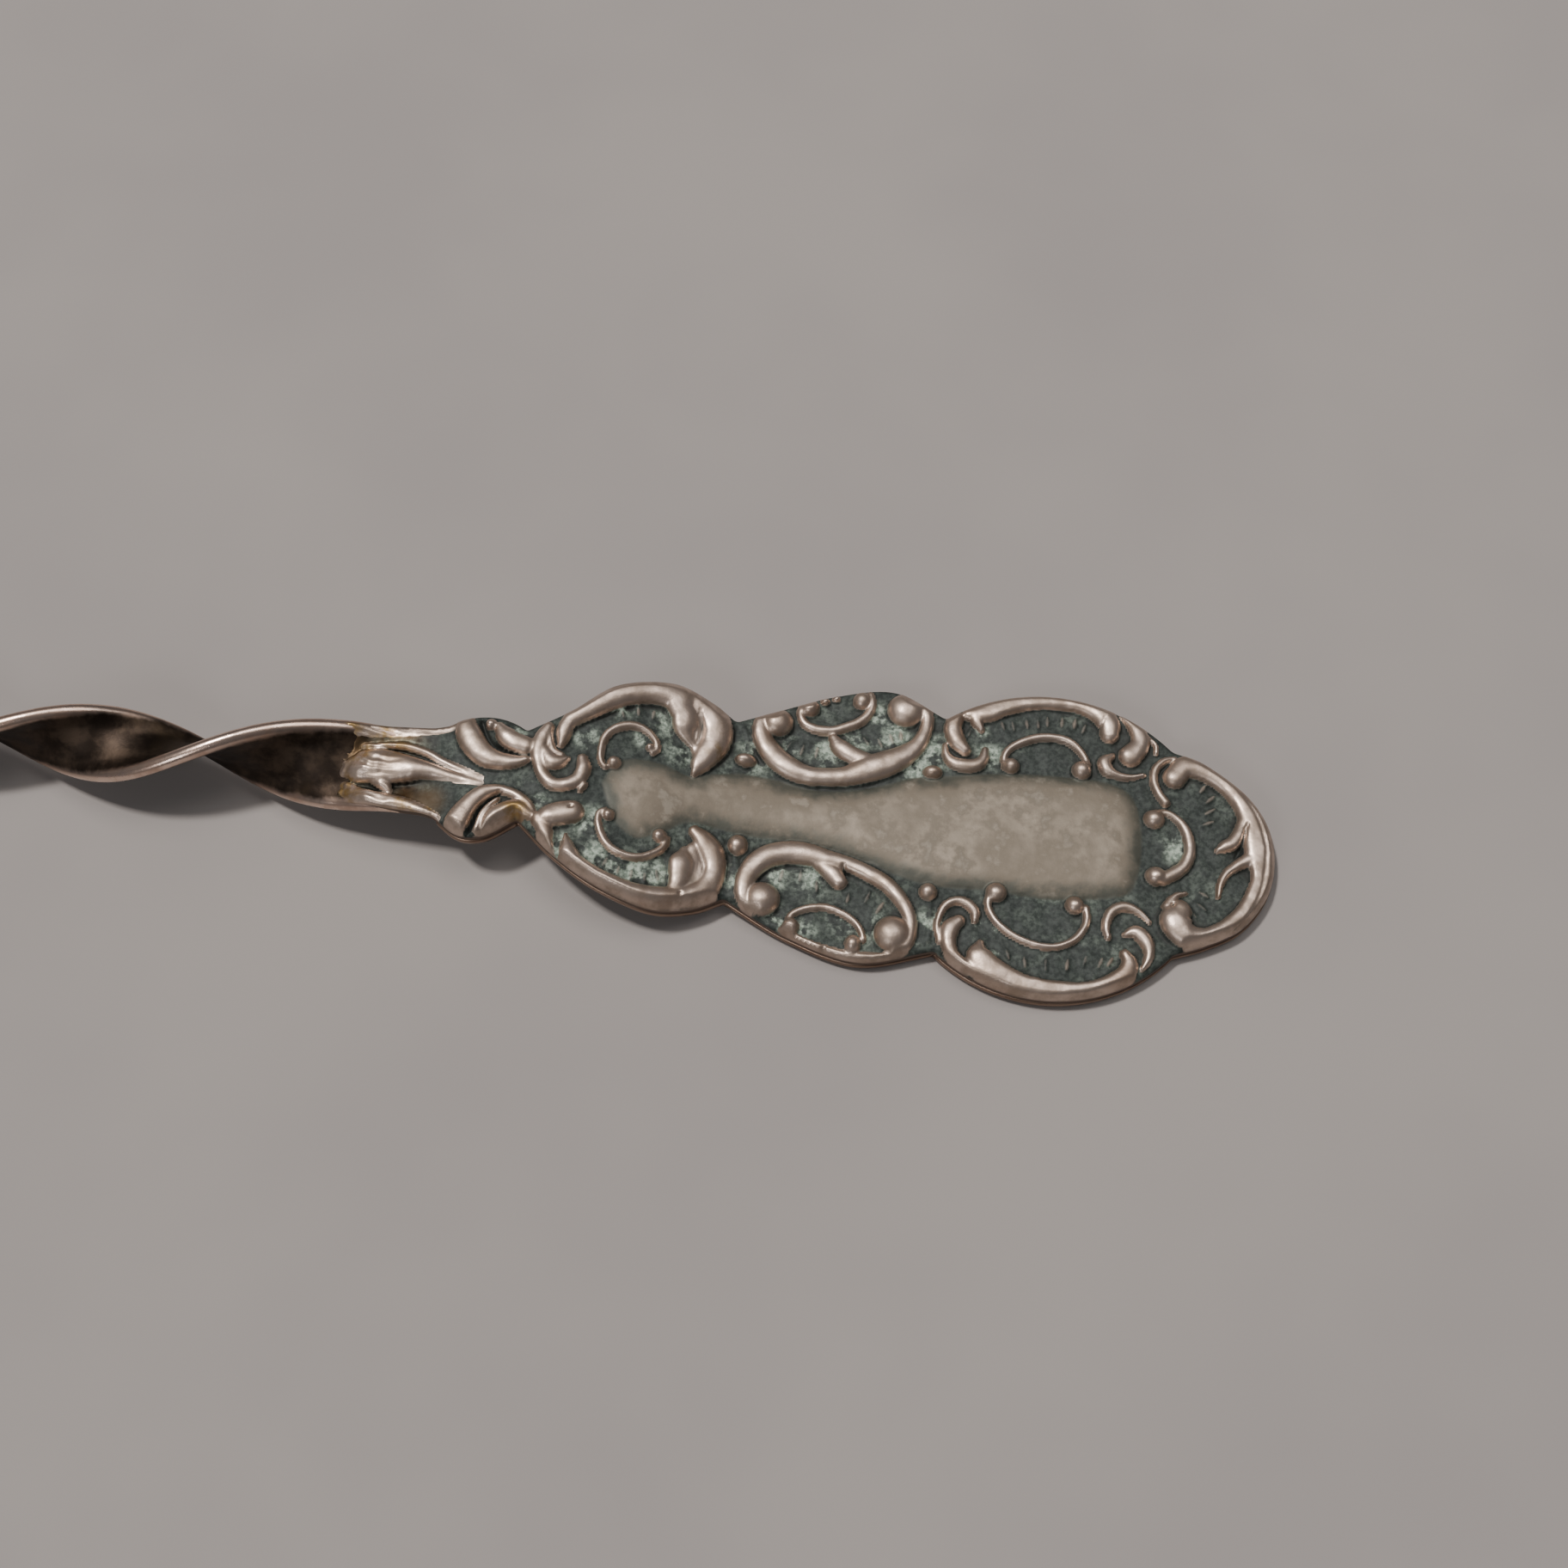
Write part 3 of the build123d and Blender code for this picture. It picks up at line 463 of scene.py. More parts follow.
class Relief:
    """A height field over a plane grid, built up stroke by stroke."""

    def __init__(self, low, high, cell):
        self.x = np.arange(low[0], high[0] + cell, cell)
        self.y = np.arange(low[1], high[1] + cell, cell)
        self.gx, self.gy = np.meshgrid(self.x, self.y, indexing="ij")
        self.h = np.zeros_like(self.gx)
        self.metal = np.zeros_like(self.gx)  # how much a place belongs to a raised scroll

    def window(self, x0, y0, x1, y1):
        i = slice(max(0, np.searchsorted(self.x, x0)), np.searchsorted(self.x, x1))
        j = slice(max(0, np.searchsorted(self.y, y0)), np.searchsorted(self.y, y1))
        return i, j

    def stroke(self, line, reach):
        """The grid's part round a line, each place's nearest sample and its distance."""
        margin = reach + .1
        i, j = self.window(*(line[:, :2].min(0) - margin), *(line[:, :2].max(0) + margin))
        gx, gy = self.gx[i, j], self.gy[i, j]
        d2 = (gx[..., None] - line[:, 0]) ** 2 + (gy[..., None] - line[:, 1]) ** 2
        k = d2.argmin(-1)
        return i, j, k, np.sqrt(np.take_along_axis(d2, k[..., None], -1)[..., 0])

    def raise_to(self, i, j, on, top, metal):
        self.h[i, j] = np.where(on, np.maximum(self.h[i, j], top), self.h[i, j])
        self.metal[i, j] = np.maximum(self.metal[i, j], metal)

    def outer_slope(self, line, width, ring):
        """A rim's width on its outer side, beside the outline, and the way out."""
        gap, foot, _ = nearest(line[:, :2], ring)
        way = (foot - line[:, :2]) / np.maximum(gap, 1e-6)[:, None]
        along = np.gradient(line[:, :2], axis=0)
        along /= np.hypot(*along.T)[:, None]
        beside = np.clip(1.6 - 2.5 * np.abs((along * way).sum(1)), 0, 1) * np.clip(3.4 - 2 * gap, 0, 1)
        from_end = np.minimum(np.arange(len(line)), np.arange(len(line))[::-1])
        beside *= np.clip(from_end / RIM_TAPER, 0, 1)
        more = np.pad(beside * np.maximum(gap + RIM_OVERRUN - width, 0), RIM_EVENING, "edge")
        span = 2 * RIM_EVENING + 1
        return width + np.convolve(more, np.ones(span) / span, "valid"), way

    def ridge(self, points, base, ring=None, power=RIDGE_POWER, height=ridge_height, bare=1.0):
        """A rounded ridge; given the outline's ring, it slopes down to it on its outer side."""
        line = smooth_line(points, LINE_STEP)
        width = np.maximum(line[:, 2], .04) * SPREAD + SPREAD_MORE
        outer = width
        if ring is not None:
            outer, way = self.outer_slope(line, width, ring)
        i, j, k, d = self.stroke(line, outer.max())
        w = width[k]
        if ring is not None:
            side = (self.gx[i, j] - line[k, 0]) * way[k, 0] + (self.gy[i, j] - line[k, 1]) * way[k, 1]
            w = np.where(side > 0, outer[k], w)
        shape = np.clip(1 - (d / w) ** 2, 0, 1) ** power
        on = d < w
        top = (base[i, j] if np.ndim(base) else base) + height(width[k]) * shape
        self.raise_to(i, j, on, top, np.where(on, bare * shape, 0))

    def bead(self, x, y, rx, ry, base):
        """A ball or an oval, sunk into the base."""
        rx, ry = rx * 1.1 + .02, ry * 1.1 + .02
        i, j = self.window(x - rx, y - ry, x + rx, y + ry)
        r2 = ((self.gx[i, j] - x) / rx) ** 2 + ((self.gy[i, j] - y) / ry) ** 2
        shape = np.sqrt(np.clip(1 - r2, 0, 1))
        top = base + min(.35 + .6 * (rx + ry) / 2, .86) * shape
        self.raise_to(i, j, r2 < 1, top, shape)

    def groove(self, points, depth):
        line = smooth_line(points, LINE_STEP)
        i, j, k, d = self.stroke(line, line[:, 2].max() * 1.5)
        shape = np.clip(1 - (d / line[k, 2]) ** 2, 0, 1)
        self.h[i, j] -= depth * shape
        self.metal[i, j] *= 1 - .8 * shape


def strip_thickness(across, half):
    """Half the strip's thickness at a distance from its middle line."""
    rim, web = RIM_DIAMETER / 2, WEB_THICKNESS / 2
    across = np.abs(across)
    rise = np.clip((across - .35 * half) / (.5 * half), 0, 1)
    thick = .7 * web + (rim - .7 * web) * rise**2 * (3 - 2 * rise)
    from_edge = np.clip((half - across) / rim, 0, 1)
    return thick * np.sqrt(1 - (1 - from_edge) ** 2)


def strip_turn(x):
    """The strip's turn about the stem's axis at x in the frame, in radians."""
    left = TWIST_END_X - x
    end = np.clip((MOUTH_X - 2.4 - x) / 3.2, 0, 1)
    eased = (left + np.hypot(left, TWIST_EASE)) / 2
    return math.pi / TWIST_HALF_PITCH * eased * end**2 * (3 - 2 * end)


def lay_ground(relief, noise):
    """The ground: the strip's own surface, which eases into the neck's level."""
    gx, gy = relief.gx, relief.gy
    turn = strip_turn(gx + ROOT_X)
    relief.tilt = gy * np.tan(turn)
    relief.strip_middle = STRIP_LEVEL + relief.tilt
    half_thick = strip_thickness(gy / np.cos(turn), STRIP_WIDTH / 2) / np.cos(turn)
    strip_top = relief.strip_middle + half_thick
    ragged_x = SLEEVE_X + .75 + .4 * noise(gx * 0, gy, .4) + .2 * noise(gx, gy, .2)
    sunk, proud = -.12, .03
    strip_top += np.where(gx < ragged_x, sunk, proud)
    into_neck = np.clip((gx + 6.2) / 3.4, 0, 1)
    into_neck *= into_neck * (3 - 2 * into_neck)
    relief.h[:] = strip_top + (GROUND - strip_top) * into_neck
    rough = .05 * noise(gx, gy, .7) + .03 * noise(gx, gy, .3)
    relief.h += rough * np.clip((gx + 8) / 4, .15, 1)
    return strip_top


def raise_panel(relief, noise):
    """The plain panel: a low dome that swells away from the neck."""
    gx, gy = relief.gx, relief.gy
    panel_ring = smooth_line([*PANEL, PANEL[0]], .15)[:-1]
    relief.panel, _ = nearest_on_grid(relief, panel_ring)
    rise = np.clip(relief.panel / PANEL_SLOPE, 0, 1)
    swell = .4 + .6 * np.clip((gx - 6) / 6, 0, 1)
    dome = PANEL_EDGE + (PANEL_TOP - PANEL_EDGE) * swell * (1 - (1 - rise) ** 2)
    dome += .012 * noise(gx, gy, 1.6)
    relief.h = np.where(relief.panel > 0, dome, relief.h)


def chase_strokes(relief):
    for x, y, angle, length in HATCHES:
        c, s = (f(math.radians(angle)) * length / 2 for f in (math.cos, math.sin))
        points = [(x - c, y - s, .06), (x, y, .11), (x + c, y + s, .05)]
        relief.ridge(points, GROUND - .05, power=1, height=level(.18), bare=.22)
    for points in FAINT:
        relief.ridge(points, GROUND - .05, height=level(.16), bare=.15)


def raise_scrolls(relief, ring):
    """The rims along the outline, and the webs, scrolls and beads inside it."""
    for points in RIMS:
        relief.ridge(points, GROUND, ring)
    relief.ridge(LIP, GROUND - .1, ring, height=level(.3))
    for points in WEBS:
        relief.ridge(points, GROUND, height=level(.42))
    for points in SCROLLS:
        relief.ridge(points, GROUND)
    for x, y, rx, ry in BEADS:
        relief.bead(x, y, rx, ry, GROUND)


def raise_leaf(relief, noise, strip_top):
    """The leaf over the joint, with worn strands, which dies out on the strip."""
    gx, gy = relief.gx, relief.gy
    for points in LEAF_RIDGES:
        relief.ridge(points, STRIP_LEVEL + .22 + relief.tilt, height=leaf_height)
    relief.ridge(STRIP_RIM_RIDGE, STRIP_LEVEL + .3 + relief.tilt, height=level(.17), bare=.8)
    strands = .045 * np.sin(gy * 15 + gx * 1.5 + 2.5 * noise(gx, gy, .8)) + .06 * noise(gx, gy, .35)
    strands *= relief.metal
    relief.h += strands * np.clip((-6.2 - gx) / 1.5, 0, 1)
    ragged = .35 * noise(gx * 0 + 9, gy, .5)
    sleeve_end = np.clip((gx - SLEEVE_X - .25 + ragged) / 1.7, 0, 1) ** .8
    relief.h = strip_top + (relief.h - strip_top) * sleeve_end


def ease_surface(relief, noise):
    """Wear: an uneven surface, a rounded shoulder and softened creases."""
    relief.h += .018 * noise(relief.gx + 7, relief.gy, .45) * (1 - .5 * (relief.panel > 0))
    from_edge = np.clip((relief.gap + .02) / .85, 0, 1)
    shoulder = EDGE + (CREST + .1 - EDGE) * np.sqrt(from_edge)
    shoulder += np.clip((-4.6 - relief.gx), 0, 1) * 2
    relief.h = np.minimum(relief.h, shoulder)
    mask = relief.gap > -.3
    relief.h = .35 * blurred(relief.h, mask, .7) + .65 * relief.h
    # How far a place sits below its surroundings; the materials darken deep creases by it, partly as painted
    # shade
    relief.pit = np.clip((blurred(relief.h, mask, 4) - relief.h) / .35, -1, 1)


def head_relief(ring):
    """The whole front as heights above the back face."""
    relief = Relief((SLEEVE_X - .1, -9.0), (40.1, 9.0), CELL)
    relief.gap, relief.foot = nearest_on_grid(relief, ring)
    noise = Noise(HEAD_SEED)
    strip_top = lay_ground(relief, noise)
    raise_panel(relief, noise)
    chase_strokes(relief)
    raise_scrolls(relief, ring)
    raise_leaf(relief, noise, strip_top)
    for points, depth in GROOVES:
        relief.groove(points, depth)
    ease_surface(relief, noise)
    return relief


# Meshes

def new_object(name, verts, faces, smooth_angle=None, **values):
    """A smooth object, with a value for each vertex under each further name."""
    mesh = bpy.data.meshes.new(name)
    mesh.from_pydata([tuple(v) for v in verts], [], faces)
    mesh.validate()
    mesh.update()
    piece = bpy.data.objects.new(name, mesh)
    bpy.context.scene.collection.objects.link(piece)
    mesh.polygons.foreach_set("use_smooth", [True] * len(mesh.polygons))
    if smooth_angle:
        mesh.set_sharp_from_angle(angle=math.radians(smooth_angle))
    for key, numbers in values.items():
        attribute = mesh.attributes.new(key, "FLOAT", "POINT")
        attribute.data.foreach_set("value", np.asarray(numbers, np.float32))
    return piece


def to_frame(verts):
    """From the head's own millimetres, with height above the floor, to the frame's metres."""
    return (verts + [ROOT_X, 0, FLOOR_Z]) * MM


def boundary_loop(faces):
    """The open edges of a face list, as a closed loop in the faces' own direction."""
    edges = dict.fromkeys(edge for face in faces for edge in zip(face, face[1:] + face[:1]))
    after = {a: b for a, b in edges if (b, a) not in edges}
    start, current = next(iter(after.items()))
    loop = [start]
    while current != start:
        loop.append(current)
        current = after[current]
    return loop


def plate(gap, upward):
    """The faces inside the outline, the grid points that they use and their open loop."""
    keep = gap > 0
    cells = keep[:-1, :-1] & keep[1:, :-1] & keep[1:, 1:] & keep[:-1, 1:]
    # a cell that hangs on by one corner would pinch the rim, so it goes
    for _ in range(3):
        padded = np.pad(cells, 1)
        sides = padded[2:, 1:-1].astype(int) + padded[:-2, 1:-1] + padded[1:-1, 2:] + padded[1:-1, :-2]
        cells &= sides >= 2
    steps = [(0, 0), (1, 0), (1, 1), (0, 1)] if upward else [(0, 0), (0, 1), (1, 1), (1, 0)]
    quads = [[(i + a) * gap.shape[1] + j + b for a, b in steps] for i, j in np.argwhere(cells)]
    used, faces = np.unique(quads, return_inverse=True)
    faces = faces.reshape(-1, 4).tolist()
    return faces, used, boundary_loop(faces)


def cap_faces(loop, xs):
    """Triangles that close a loop, nearly level in x, so that they follow the S-bend."""
    left, right = int(np.argmin(xs)), int(np.argmax(xs))
    n = len(loop)
    one = [(left + k) % n for k in range((right - left) % n + 1)]
    two = [(left - k) % n for k in range((left - right) % n + 1)]
    faces, i, j = [], 0, 0
    while i < len(one) - 1 or j < len(two) - 1:
        if j == len(two) - 1 or (i < len(one) - 1 and xs[one[i + 1]] < xs[two[j + 1]]):
            corners = [one[i], one[i + 1], two[j]]
            i += 1
        else:
            corners = [one[i], two[j + 1], two[j]]
            j += 1
        if len(set(corners)) == 3:
            faces.append([loop[c] for c in corners[::-1]])
    return faces


def wall_faces(loop, count, rings):
    """Quads from a loop through further rings, numbered from count, and a cap on the last."""
    faces, previous = [], loop
    for n in range(len(rings)):
        current = [count + n * len(loop) + k for k in range(len(loop))]
        for k in range(len(loop)):
            after = (k + 1) % len(loop)
            faces.append([previous[after], previous[k], current[k], current[after]])
        previous = current
    return faces + cap_faces(previous, rings[-1][:, 0])


def tube_faces(stations, n):
    """Quads between rings of n points each, and a cap at either end."""
    faces = []
    for s in range(stations - 1):
        for k in range(n):
            after = (k + 1) % n
            faces.append([s * n + k, s * n + after, (s + 1) * n + after, (s + 1) * n + k])
    last = (stations - 1) * n
    return faces + [list(range(n))[::-1], [last + k for k in range(n)]]


def front_values(x, y, loop, pit, metal, panel):
    """What the front's material reads: the relief's points first, then two rings of wall."""
    extra = 2 * len(loop)
    places = np.r_[x, x[loop], x[loop]], np.r_[y, y[loop], y[loop]]
    return {
        "pit": np.r_[pit, np.full(extra, .2)],
        "metal": np.r_[metal, np.full(extra, .15)],
        "panel": np.clip(np.r_[panel, np.full(extra, -1.0)] / PANEL_FADE, -1, 1),
        # How much of the wall's painted shade each point takes
        "wall": np.r_[np.zeros(len(x)), np.where(x[loop] > -4.5, 1.0, .3), np.ones(len(loop))],
        "deposit": patches(DEPOSITS, *places),
        "gold": patches(GOLD, *places),
        "strip": np.clip((-4.6 - places[0]) / 1.5, 0, 1),
    }


def head_front(relief):
    """The struck front: the relief inside the outline, drawn out to it, and a wall."""
    faces, used, loop = plate(relief.gap, upward=True)
    fields = (relief.gx, relief.gy, relief.h, relief.pit, relief.metal, relief.panel)
    x, y, h, pit, metal, panel = (field.ravel()[used] for field in fields)
    metal[loop], pit[loop] = evened(metal[loop]), evened(pit[loop])
    foot = evened(relief.foot.reshape(-1, 2)[used[loop]])
    x[loop], y[loop] = foot[:, 0], foot[:, 1]
    on_head = x[loop] > MOUTH_X - ROOT_X
    h[loop] = evened(np.where(on_head, np.minimum(h[loop], EDGE_TOP), h[loop]))

    verts = np.column_stack([x, y, h + lift(x)])
    foot_height = np.where(on_head, SEAM, relief.strip_middle.ravel()[used[loop]] - .05)
    rings = []
    for share in (.5, 0.0):
        ring = verts[loop].copy()
        ring[:, 2] = lift(ring[:, 0]) + foot_height + (h[loop] - foot_height) * share
        rings.append(ring)
    faces += wall_faces(loop, len(verts), rings)
    values = front_values(x, y, loop, pit, metal, panel)
    return new_object("struck_front", to_frame(np.vstack([verts, *rings])), faces, **values)


def head_back(ring):
    """The plain back plate, with eased edges, a little proud of the front."""
    x = np.arange(NECK_END, 40.3, BACK_CELL)
    y = np.arange(-9.0, 9.0, BACK_CELL)
    gx, gy = np.meshgrid(x, y, indexing="ij")
    points = np.column_stack([gx.ravel(), gy.ravel()])
    gap, foot, inside = nearest(points, ring)
    gap = np.where(inside, gap, -gap).reshape(gx.shape)
    faces, used, loop = plate(gap, upward=False)
    xy = points[used]
    edge = foot[used[loop]]
    outward = edge - xy[loop]
    outward /= np.maximum(np.hypot(*outward.T), 1e-6)[:, None]
    xy[loop] = edge - .1 * outward
    verts = np.column_stack([xy, lift(xy[:, 0])])
    profile = [(-.02, .06), (.05, .2), (.07, .45), (.04, SEAM - .02), (-.1, SEAM)]
    rings = []
    for outset, height in profile:
        out = edge + outset * outward
        rings.append(np.column_stack([out, lift(out[:, 0]) + height]))
    faces += wall_faces(loop, len(verts), rings)
    wall = np.r_[np.zeros(len(verts)), np.ones(len(profile) * len(loop))]
    return new_object("plain_back", to_frame(np.vstack([verts, *rings])), faces, wall=wall)


def strip_ring(width, count=48):
    """The strip's cross-section, a dished web with round edges, as (across, thick) points."""
    across = width / 2 * np.cos(np.linspace(0, math.pi, count))
    top = np.column_stack([across, strip_thickness(across, width / 2)])
    return np.vstack([top, (top[1:-1] * [1, -1])[::-1]])


def twisted_shank():
    """The strip: its cross-section turned and tapered along the stem's axis."""
    noise = Noise(STRIP_SEED)
    stations = np.arange(TWIST_START_X, MOUTH_X + STRIP_INTO_NECK, STRIP_STEP)
    verts, across = [], []
    for x in stations:
        turn = float(strip_turn(x))
        taper = np.clip((TWIST_END_X - x) / (TWIST_END_X - TWIST_START_X), 0, 1)
        onset = .6 + .4 * math.sin(np.clip((x - TWIST_START_X) / 1.4, 0, 1) * math.pi / 2)
        width = (STRIP_WIDTH + (STRIP_END_WIDTH - STRIP_WIDTH) * taper) * onset
        ring = strip_ring(width)
        wobble = .03 * noise(np.full(len(ring), x), ring[:, 0] * 2, 2.5)
        u, v = ring[:, 0], ring[:, 1] + wobble * .5
        y = u * math.cos(turn) - v * math.sin(turn)
        z = u * math.sin(turn) + v * math.cos(turn)
        verts.append(np.column_stack([np.full(len(ring), x), y, z]))
        across.append(np.abs(u) / (width / 2))
    faces = tube_faces(len(stations), len(verts[0]))
    return new_object("strip_shank", np.vstack(verts) * MM, faces, across=np.concatenate(across))


def lathe(name, profile, count=72):
    """A turned piece on the stem's axis from (x, radius) points in mm."""
    turn = np.linspace(0, math.tau, count, endpoint=False)
    rings = [np.column_stack([np.full(count, x), r * np.cos(turn), r * np.sin(turn)]) for x, r in profile]
    return new_object(name, np.vstack(rings) * MM, tube_faces(len(profile), count), 35)


def collar_profile():
    """A cone with two turned grooves and a bead, and a ring at the mouth."""
    nose_radius, cone_start, cone_end = 1.0, .16, 5.1
    profile = [(0.0, .62), (0.0, .86), (.06, .95), (cone_start, nose_radius)]
    for x in np.linspace(cone_start, cone_end, 120)[1:]:
        r = nose_radius + (x - cone_start) / (cone_end - cone_start) * .8
        r -= .07 * math.exp(-((x - .9) / .07) ** 2) + .07 * math.exp(-((x - 1.25) / .07) ** 2)
        r -= .08 * math.exp(-((x - 4.7) / .09) ** 2)
        profile.append((x, r))
    ring_x, ring_length, ring_radius, ring_rise = 5.15, .43, 1.78, .22
    for t in np.linspace(0, math.pi, 18):
        profile.append((ring_x + ring_length * (1 - math.cos(t)), ring_radius + ring_rise * math.sin(t)))
    return profile + [(COLLAR_LENGTH, 1.5), (5.8, 1.2), (5.4, 1.1)]


def stem_profile():
    """Drawn wire with a ground point, from inside the collar to the tip."""
    profile = [(STEM_IN_COLLAR, .2), (STEM_IN_COLLAR, STEM_RADIUS)]
    profile += [(x, STEM_RADIUS) for x in np.linspace(.3, POINT_START_X, 60)]
    tip_radius = .06
    for t in np.linspace(0, 1, 40)[1:]:
        radius = tip_radius + .49 * (1 - t) ** .92
        profile.append((POINT_START_X - POINT_LENGTH * t, radius))
    return profile + [(POINT_START_X - POINT_LENGTH, .02)]


# Materials

def linear(r, g, b):
    """A 0 to 255 screen colour as linear light."""
    return tuple(((c / 255 + .055) / 1.055) ** 2.4 for c in (r, g, b))


# Screen colours; a pair is mottled from one to the other
# The struck front: its scrolls, the ground between them and the wall
SILVER = (198, 179, 165), (160, 143, 129)
RECESS = (32, 39, 36), (56, 63, 59)
DEPOSIT = (112, 125, 113), (170, 183, 168)
# The crease colour is dark patina in the creases beside the scrolls, deepened as painted shade
# The wall's brown is painted shade: the dark surroundings reflected in the wall round the outline
SILVER_BROWN, PAINTED_WALL_SHADE, CREASE_PATINA_AND_SHADE = (156, 132, 113), (108, 86, 72), (30, 32, 29)
GOLDEN, GOLDEN_DARK = (156, 128, 82), (92, 72, 46)

# Its plain panel
GRIME = (146, 135, 120), (116, 107, 94)
GRIME_STAIN, GRIME_RUBBED, GRIME_EDGE = (124, 114, 100), (168, 159, 145), (76, 77, 69)

# The strip, bare and under the leaf
# Its near-black faces are painted shade: the dark surroundings reflected in the dished web
STRIP = (46, 39, 34), (72, 61, 52)
# Its rims are worn bright silver, made paler still as painted highlight
STRIP_RIM = (232, 206, 190), (186, 158, 141)
STRIP_WARM = (96, 80, 60)
# The strip's face under the leaf: the same near-black painted reflection
SLEEVE_FACE = (46, 39, 34), (76, 65, 54)

# The back plate, the turned pieces and the floor
BACK = (176, 160, 146), (128, 116, 104)
# The edge's pair is painted shade: the dark surroundings reflected in the back plate's edge wall
PAINTED_BACK_EDGE_SHADE = (128, 105, 90), (154, 131, 115)
COLLAR = (206, 188, 174), (150, 132, 118)
STEEL = (168, 166, 164), (120, 116, 112)
FLOOR = (150, 144, 141), (156, 150, 146)


class Nodes:
    """Short calls for building one material's nodes."""

    def __init__(self, name):
        self.material = bpy.data.materials.new(name)
        self.material.use_nodes = True
        self.tree = self.material.node_tree
        self.shader = self.tree.nodes["Principled BSDF"]
        self.point = self.add("TexCoord").outputs["Object"]

    def add(self, kind, **settings):
        node = self.tree.nodes.new("ShaderNode" + kind)
        for key, value in settings.items():
            setattr(node, key, value)
        return node

    def link(self, source, target):
        if isinstance(source, (int, float)):
            target.default_value = source
        else:
            self.tree.links.new(source, target)

    def drive(self, name, source):
        self.link(source, self.shader.inputs[name])

    def value(self, name):
        return self.add("Attribute", attribute_name=name).outputs["Fac"]

    def noise(self, scale, detail=4):
        node = self.add("TexNoise")
        for key, number in ("Scale", scale), ("Detail", detail), ("Roughness", .6):
            node.inputs[key].default_value = number
        self.link(self.point, node.inputs["Vector"])
        return node.outputs["Fac"]

    def maths(self, operation, a, b=0.0, clamp=False):
        node = self.add("Math", operation=operation, use_clamp=clamp)
        self.link(a, node.inputs[0])
        self.link(b, node.inputs[1])
        return node.outputs[0]

    def plus(self, a, b):
        return self.maths("ADD", a, b)

    def times(self, a, b):
        return self.maths("MULTIPLY", a, b)

    def ramp(self, source, low, high, to_low=0.0, to_high=1.0):
        """Source from low to high, mapped smoothly onto to_low to to_high."""
        node = self.add("MapRange", interpolation_type="SMOOTHSTEP")
        self.link(source, node.inputs["Value"])
        ends = ("From Min", low), ("From Max", high), ("To Min", to_low), ("To Max", to_high)
        for key, number in ends:
            node.inputs[key].default_value = number
        return node.outputs["Result"]

    def mix(self, share, a, b):
        node = self.add("Mix", data_type="RGBA")
        self.link(share, node.inputs["Factor"])
        for colour, socket in ((a, node.inputs[6]), (b, node.inputs[7])):
            if isinstance(colour, tuple):
                socket.default_value = (*linear(*colour), 1)
            else:
                self.tree.links.new(colour, socket)
        return node.outputs[2]

    def mottled(self, source, low, high, pair):
        return self.mix(self.ramp(source, low, high), *pair)

    def bump(self, source, strength, distance):
        node = self.add("Bump")
        node.inputs["Strength"].default_value = strength
        node.inputs["Distance"].default_value = distance
        self.link(source, node.inputs["Height"])
        self.link(node.outputs["Normal"], self.shader.inputs["Normal"])


def recess_colour(n, pit, mottle, fine, broad):
    """The dark ground between the scrolls, with pale deposits in its corners and painted shade in its
    deepest creases.
    """
    gold = n.value("gold")
    dark = n.mottled(fine, .35, .65, RECESS)
    # The strip's face under the sleeve is near-black as painted dark reflection
    strip_face = n.mottled(mottle, .4, .65, SLEEVE_FACE)
    dark = n.mix(n.value("strip"), dark, strip_face)
    dark = n.mix(n.times(gold, .7), dark, GOLDEN_DARK)
    green = n.mottled(fine, .4, .6, DEPOSIT)
    beside = n.ramp(pit, 0.0, .2, 0.0, .9)
    patchy = n.plus(n.value("deposit"), n.ramp(broad, .4, .65, 0.0, .15))
    patchy = n.times(patchy, n.plus(beside, .65))
    deposit = n.maths("MULTIPLY", n.ramp(mottle, .42, .58), patchy, clamp=True)
    recess = n.mix(deposit, dark, green)
    # The deepest creases go near-black: patina there, deepened as painted shade
    return n.mix(n.ramp(pit, .3, .7, 0.0, .8), recess, CREASE_PATINA_AND_SHADE)


def scroll_colour(n, mottle, broad):
    """Silver with brown patches, a little golden tarnish and one painted gold glint."""
    silver = n.mottled(mottle, .35, .7, SILVER)
    silver = n.mix(n.ramp(broad, .5, .68, 0.0, .4), silver, SILVER_BROWN)
    return n.mix(n.times(n.value("gold"), n.ramp(mottle, .4, .6)), silver, GOLDEN)


def panel_colour(n, panel, mottle, broad):
    """The panel's warm grey grime, which darkens towards its edge."""
    grime = n.mottled(mottle, .38, .66, GRIME)
    stain = n.mix(n.ramp(broad, .42, .6), grime, GRIME_STAIN)
    rubbed = n.mix(n.ramp(mottle, .56, .7, 0.0, .5), stain, GRIME_RUBBED)
    inward = n.ramp(n.plus(panel, n.ramp(mottle, .3, .7, -.2, .2)), 0.0, .75)
    return n.mix(inward, GRIME_EDGE, rubbed)


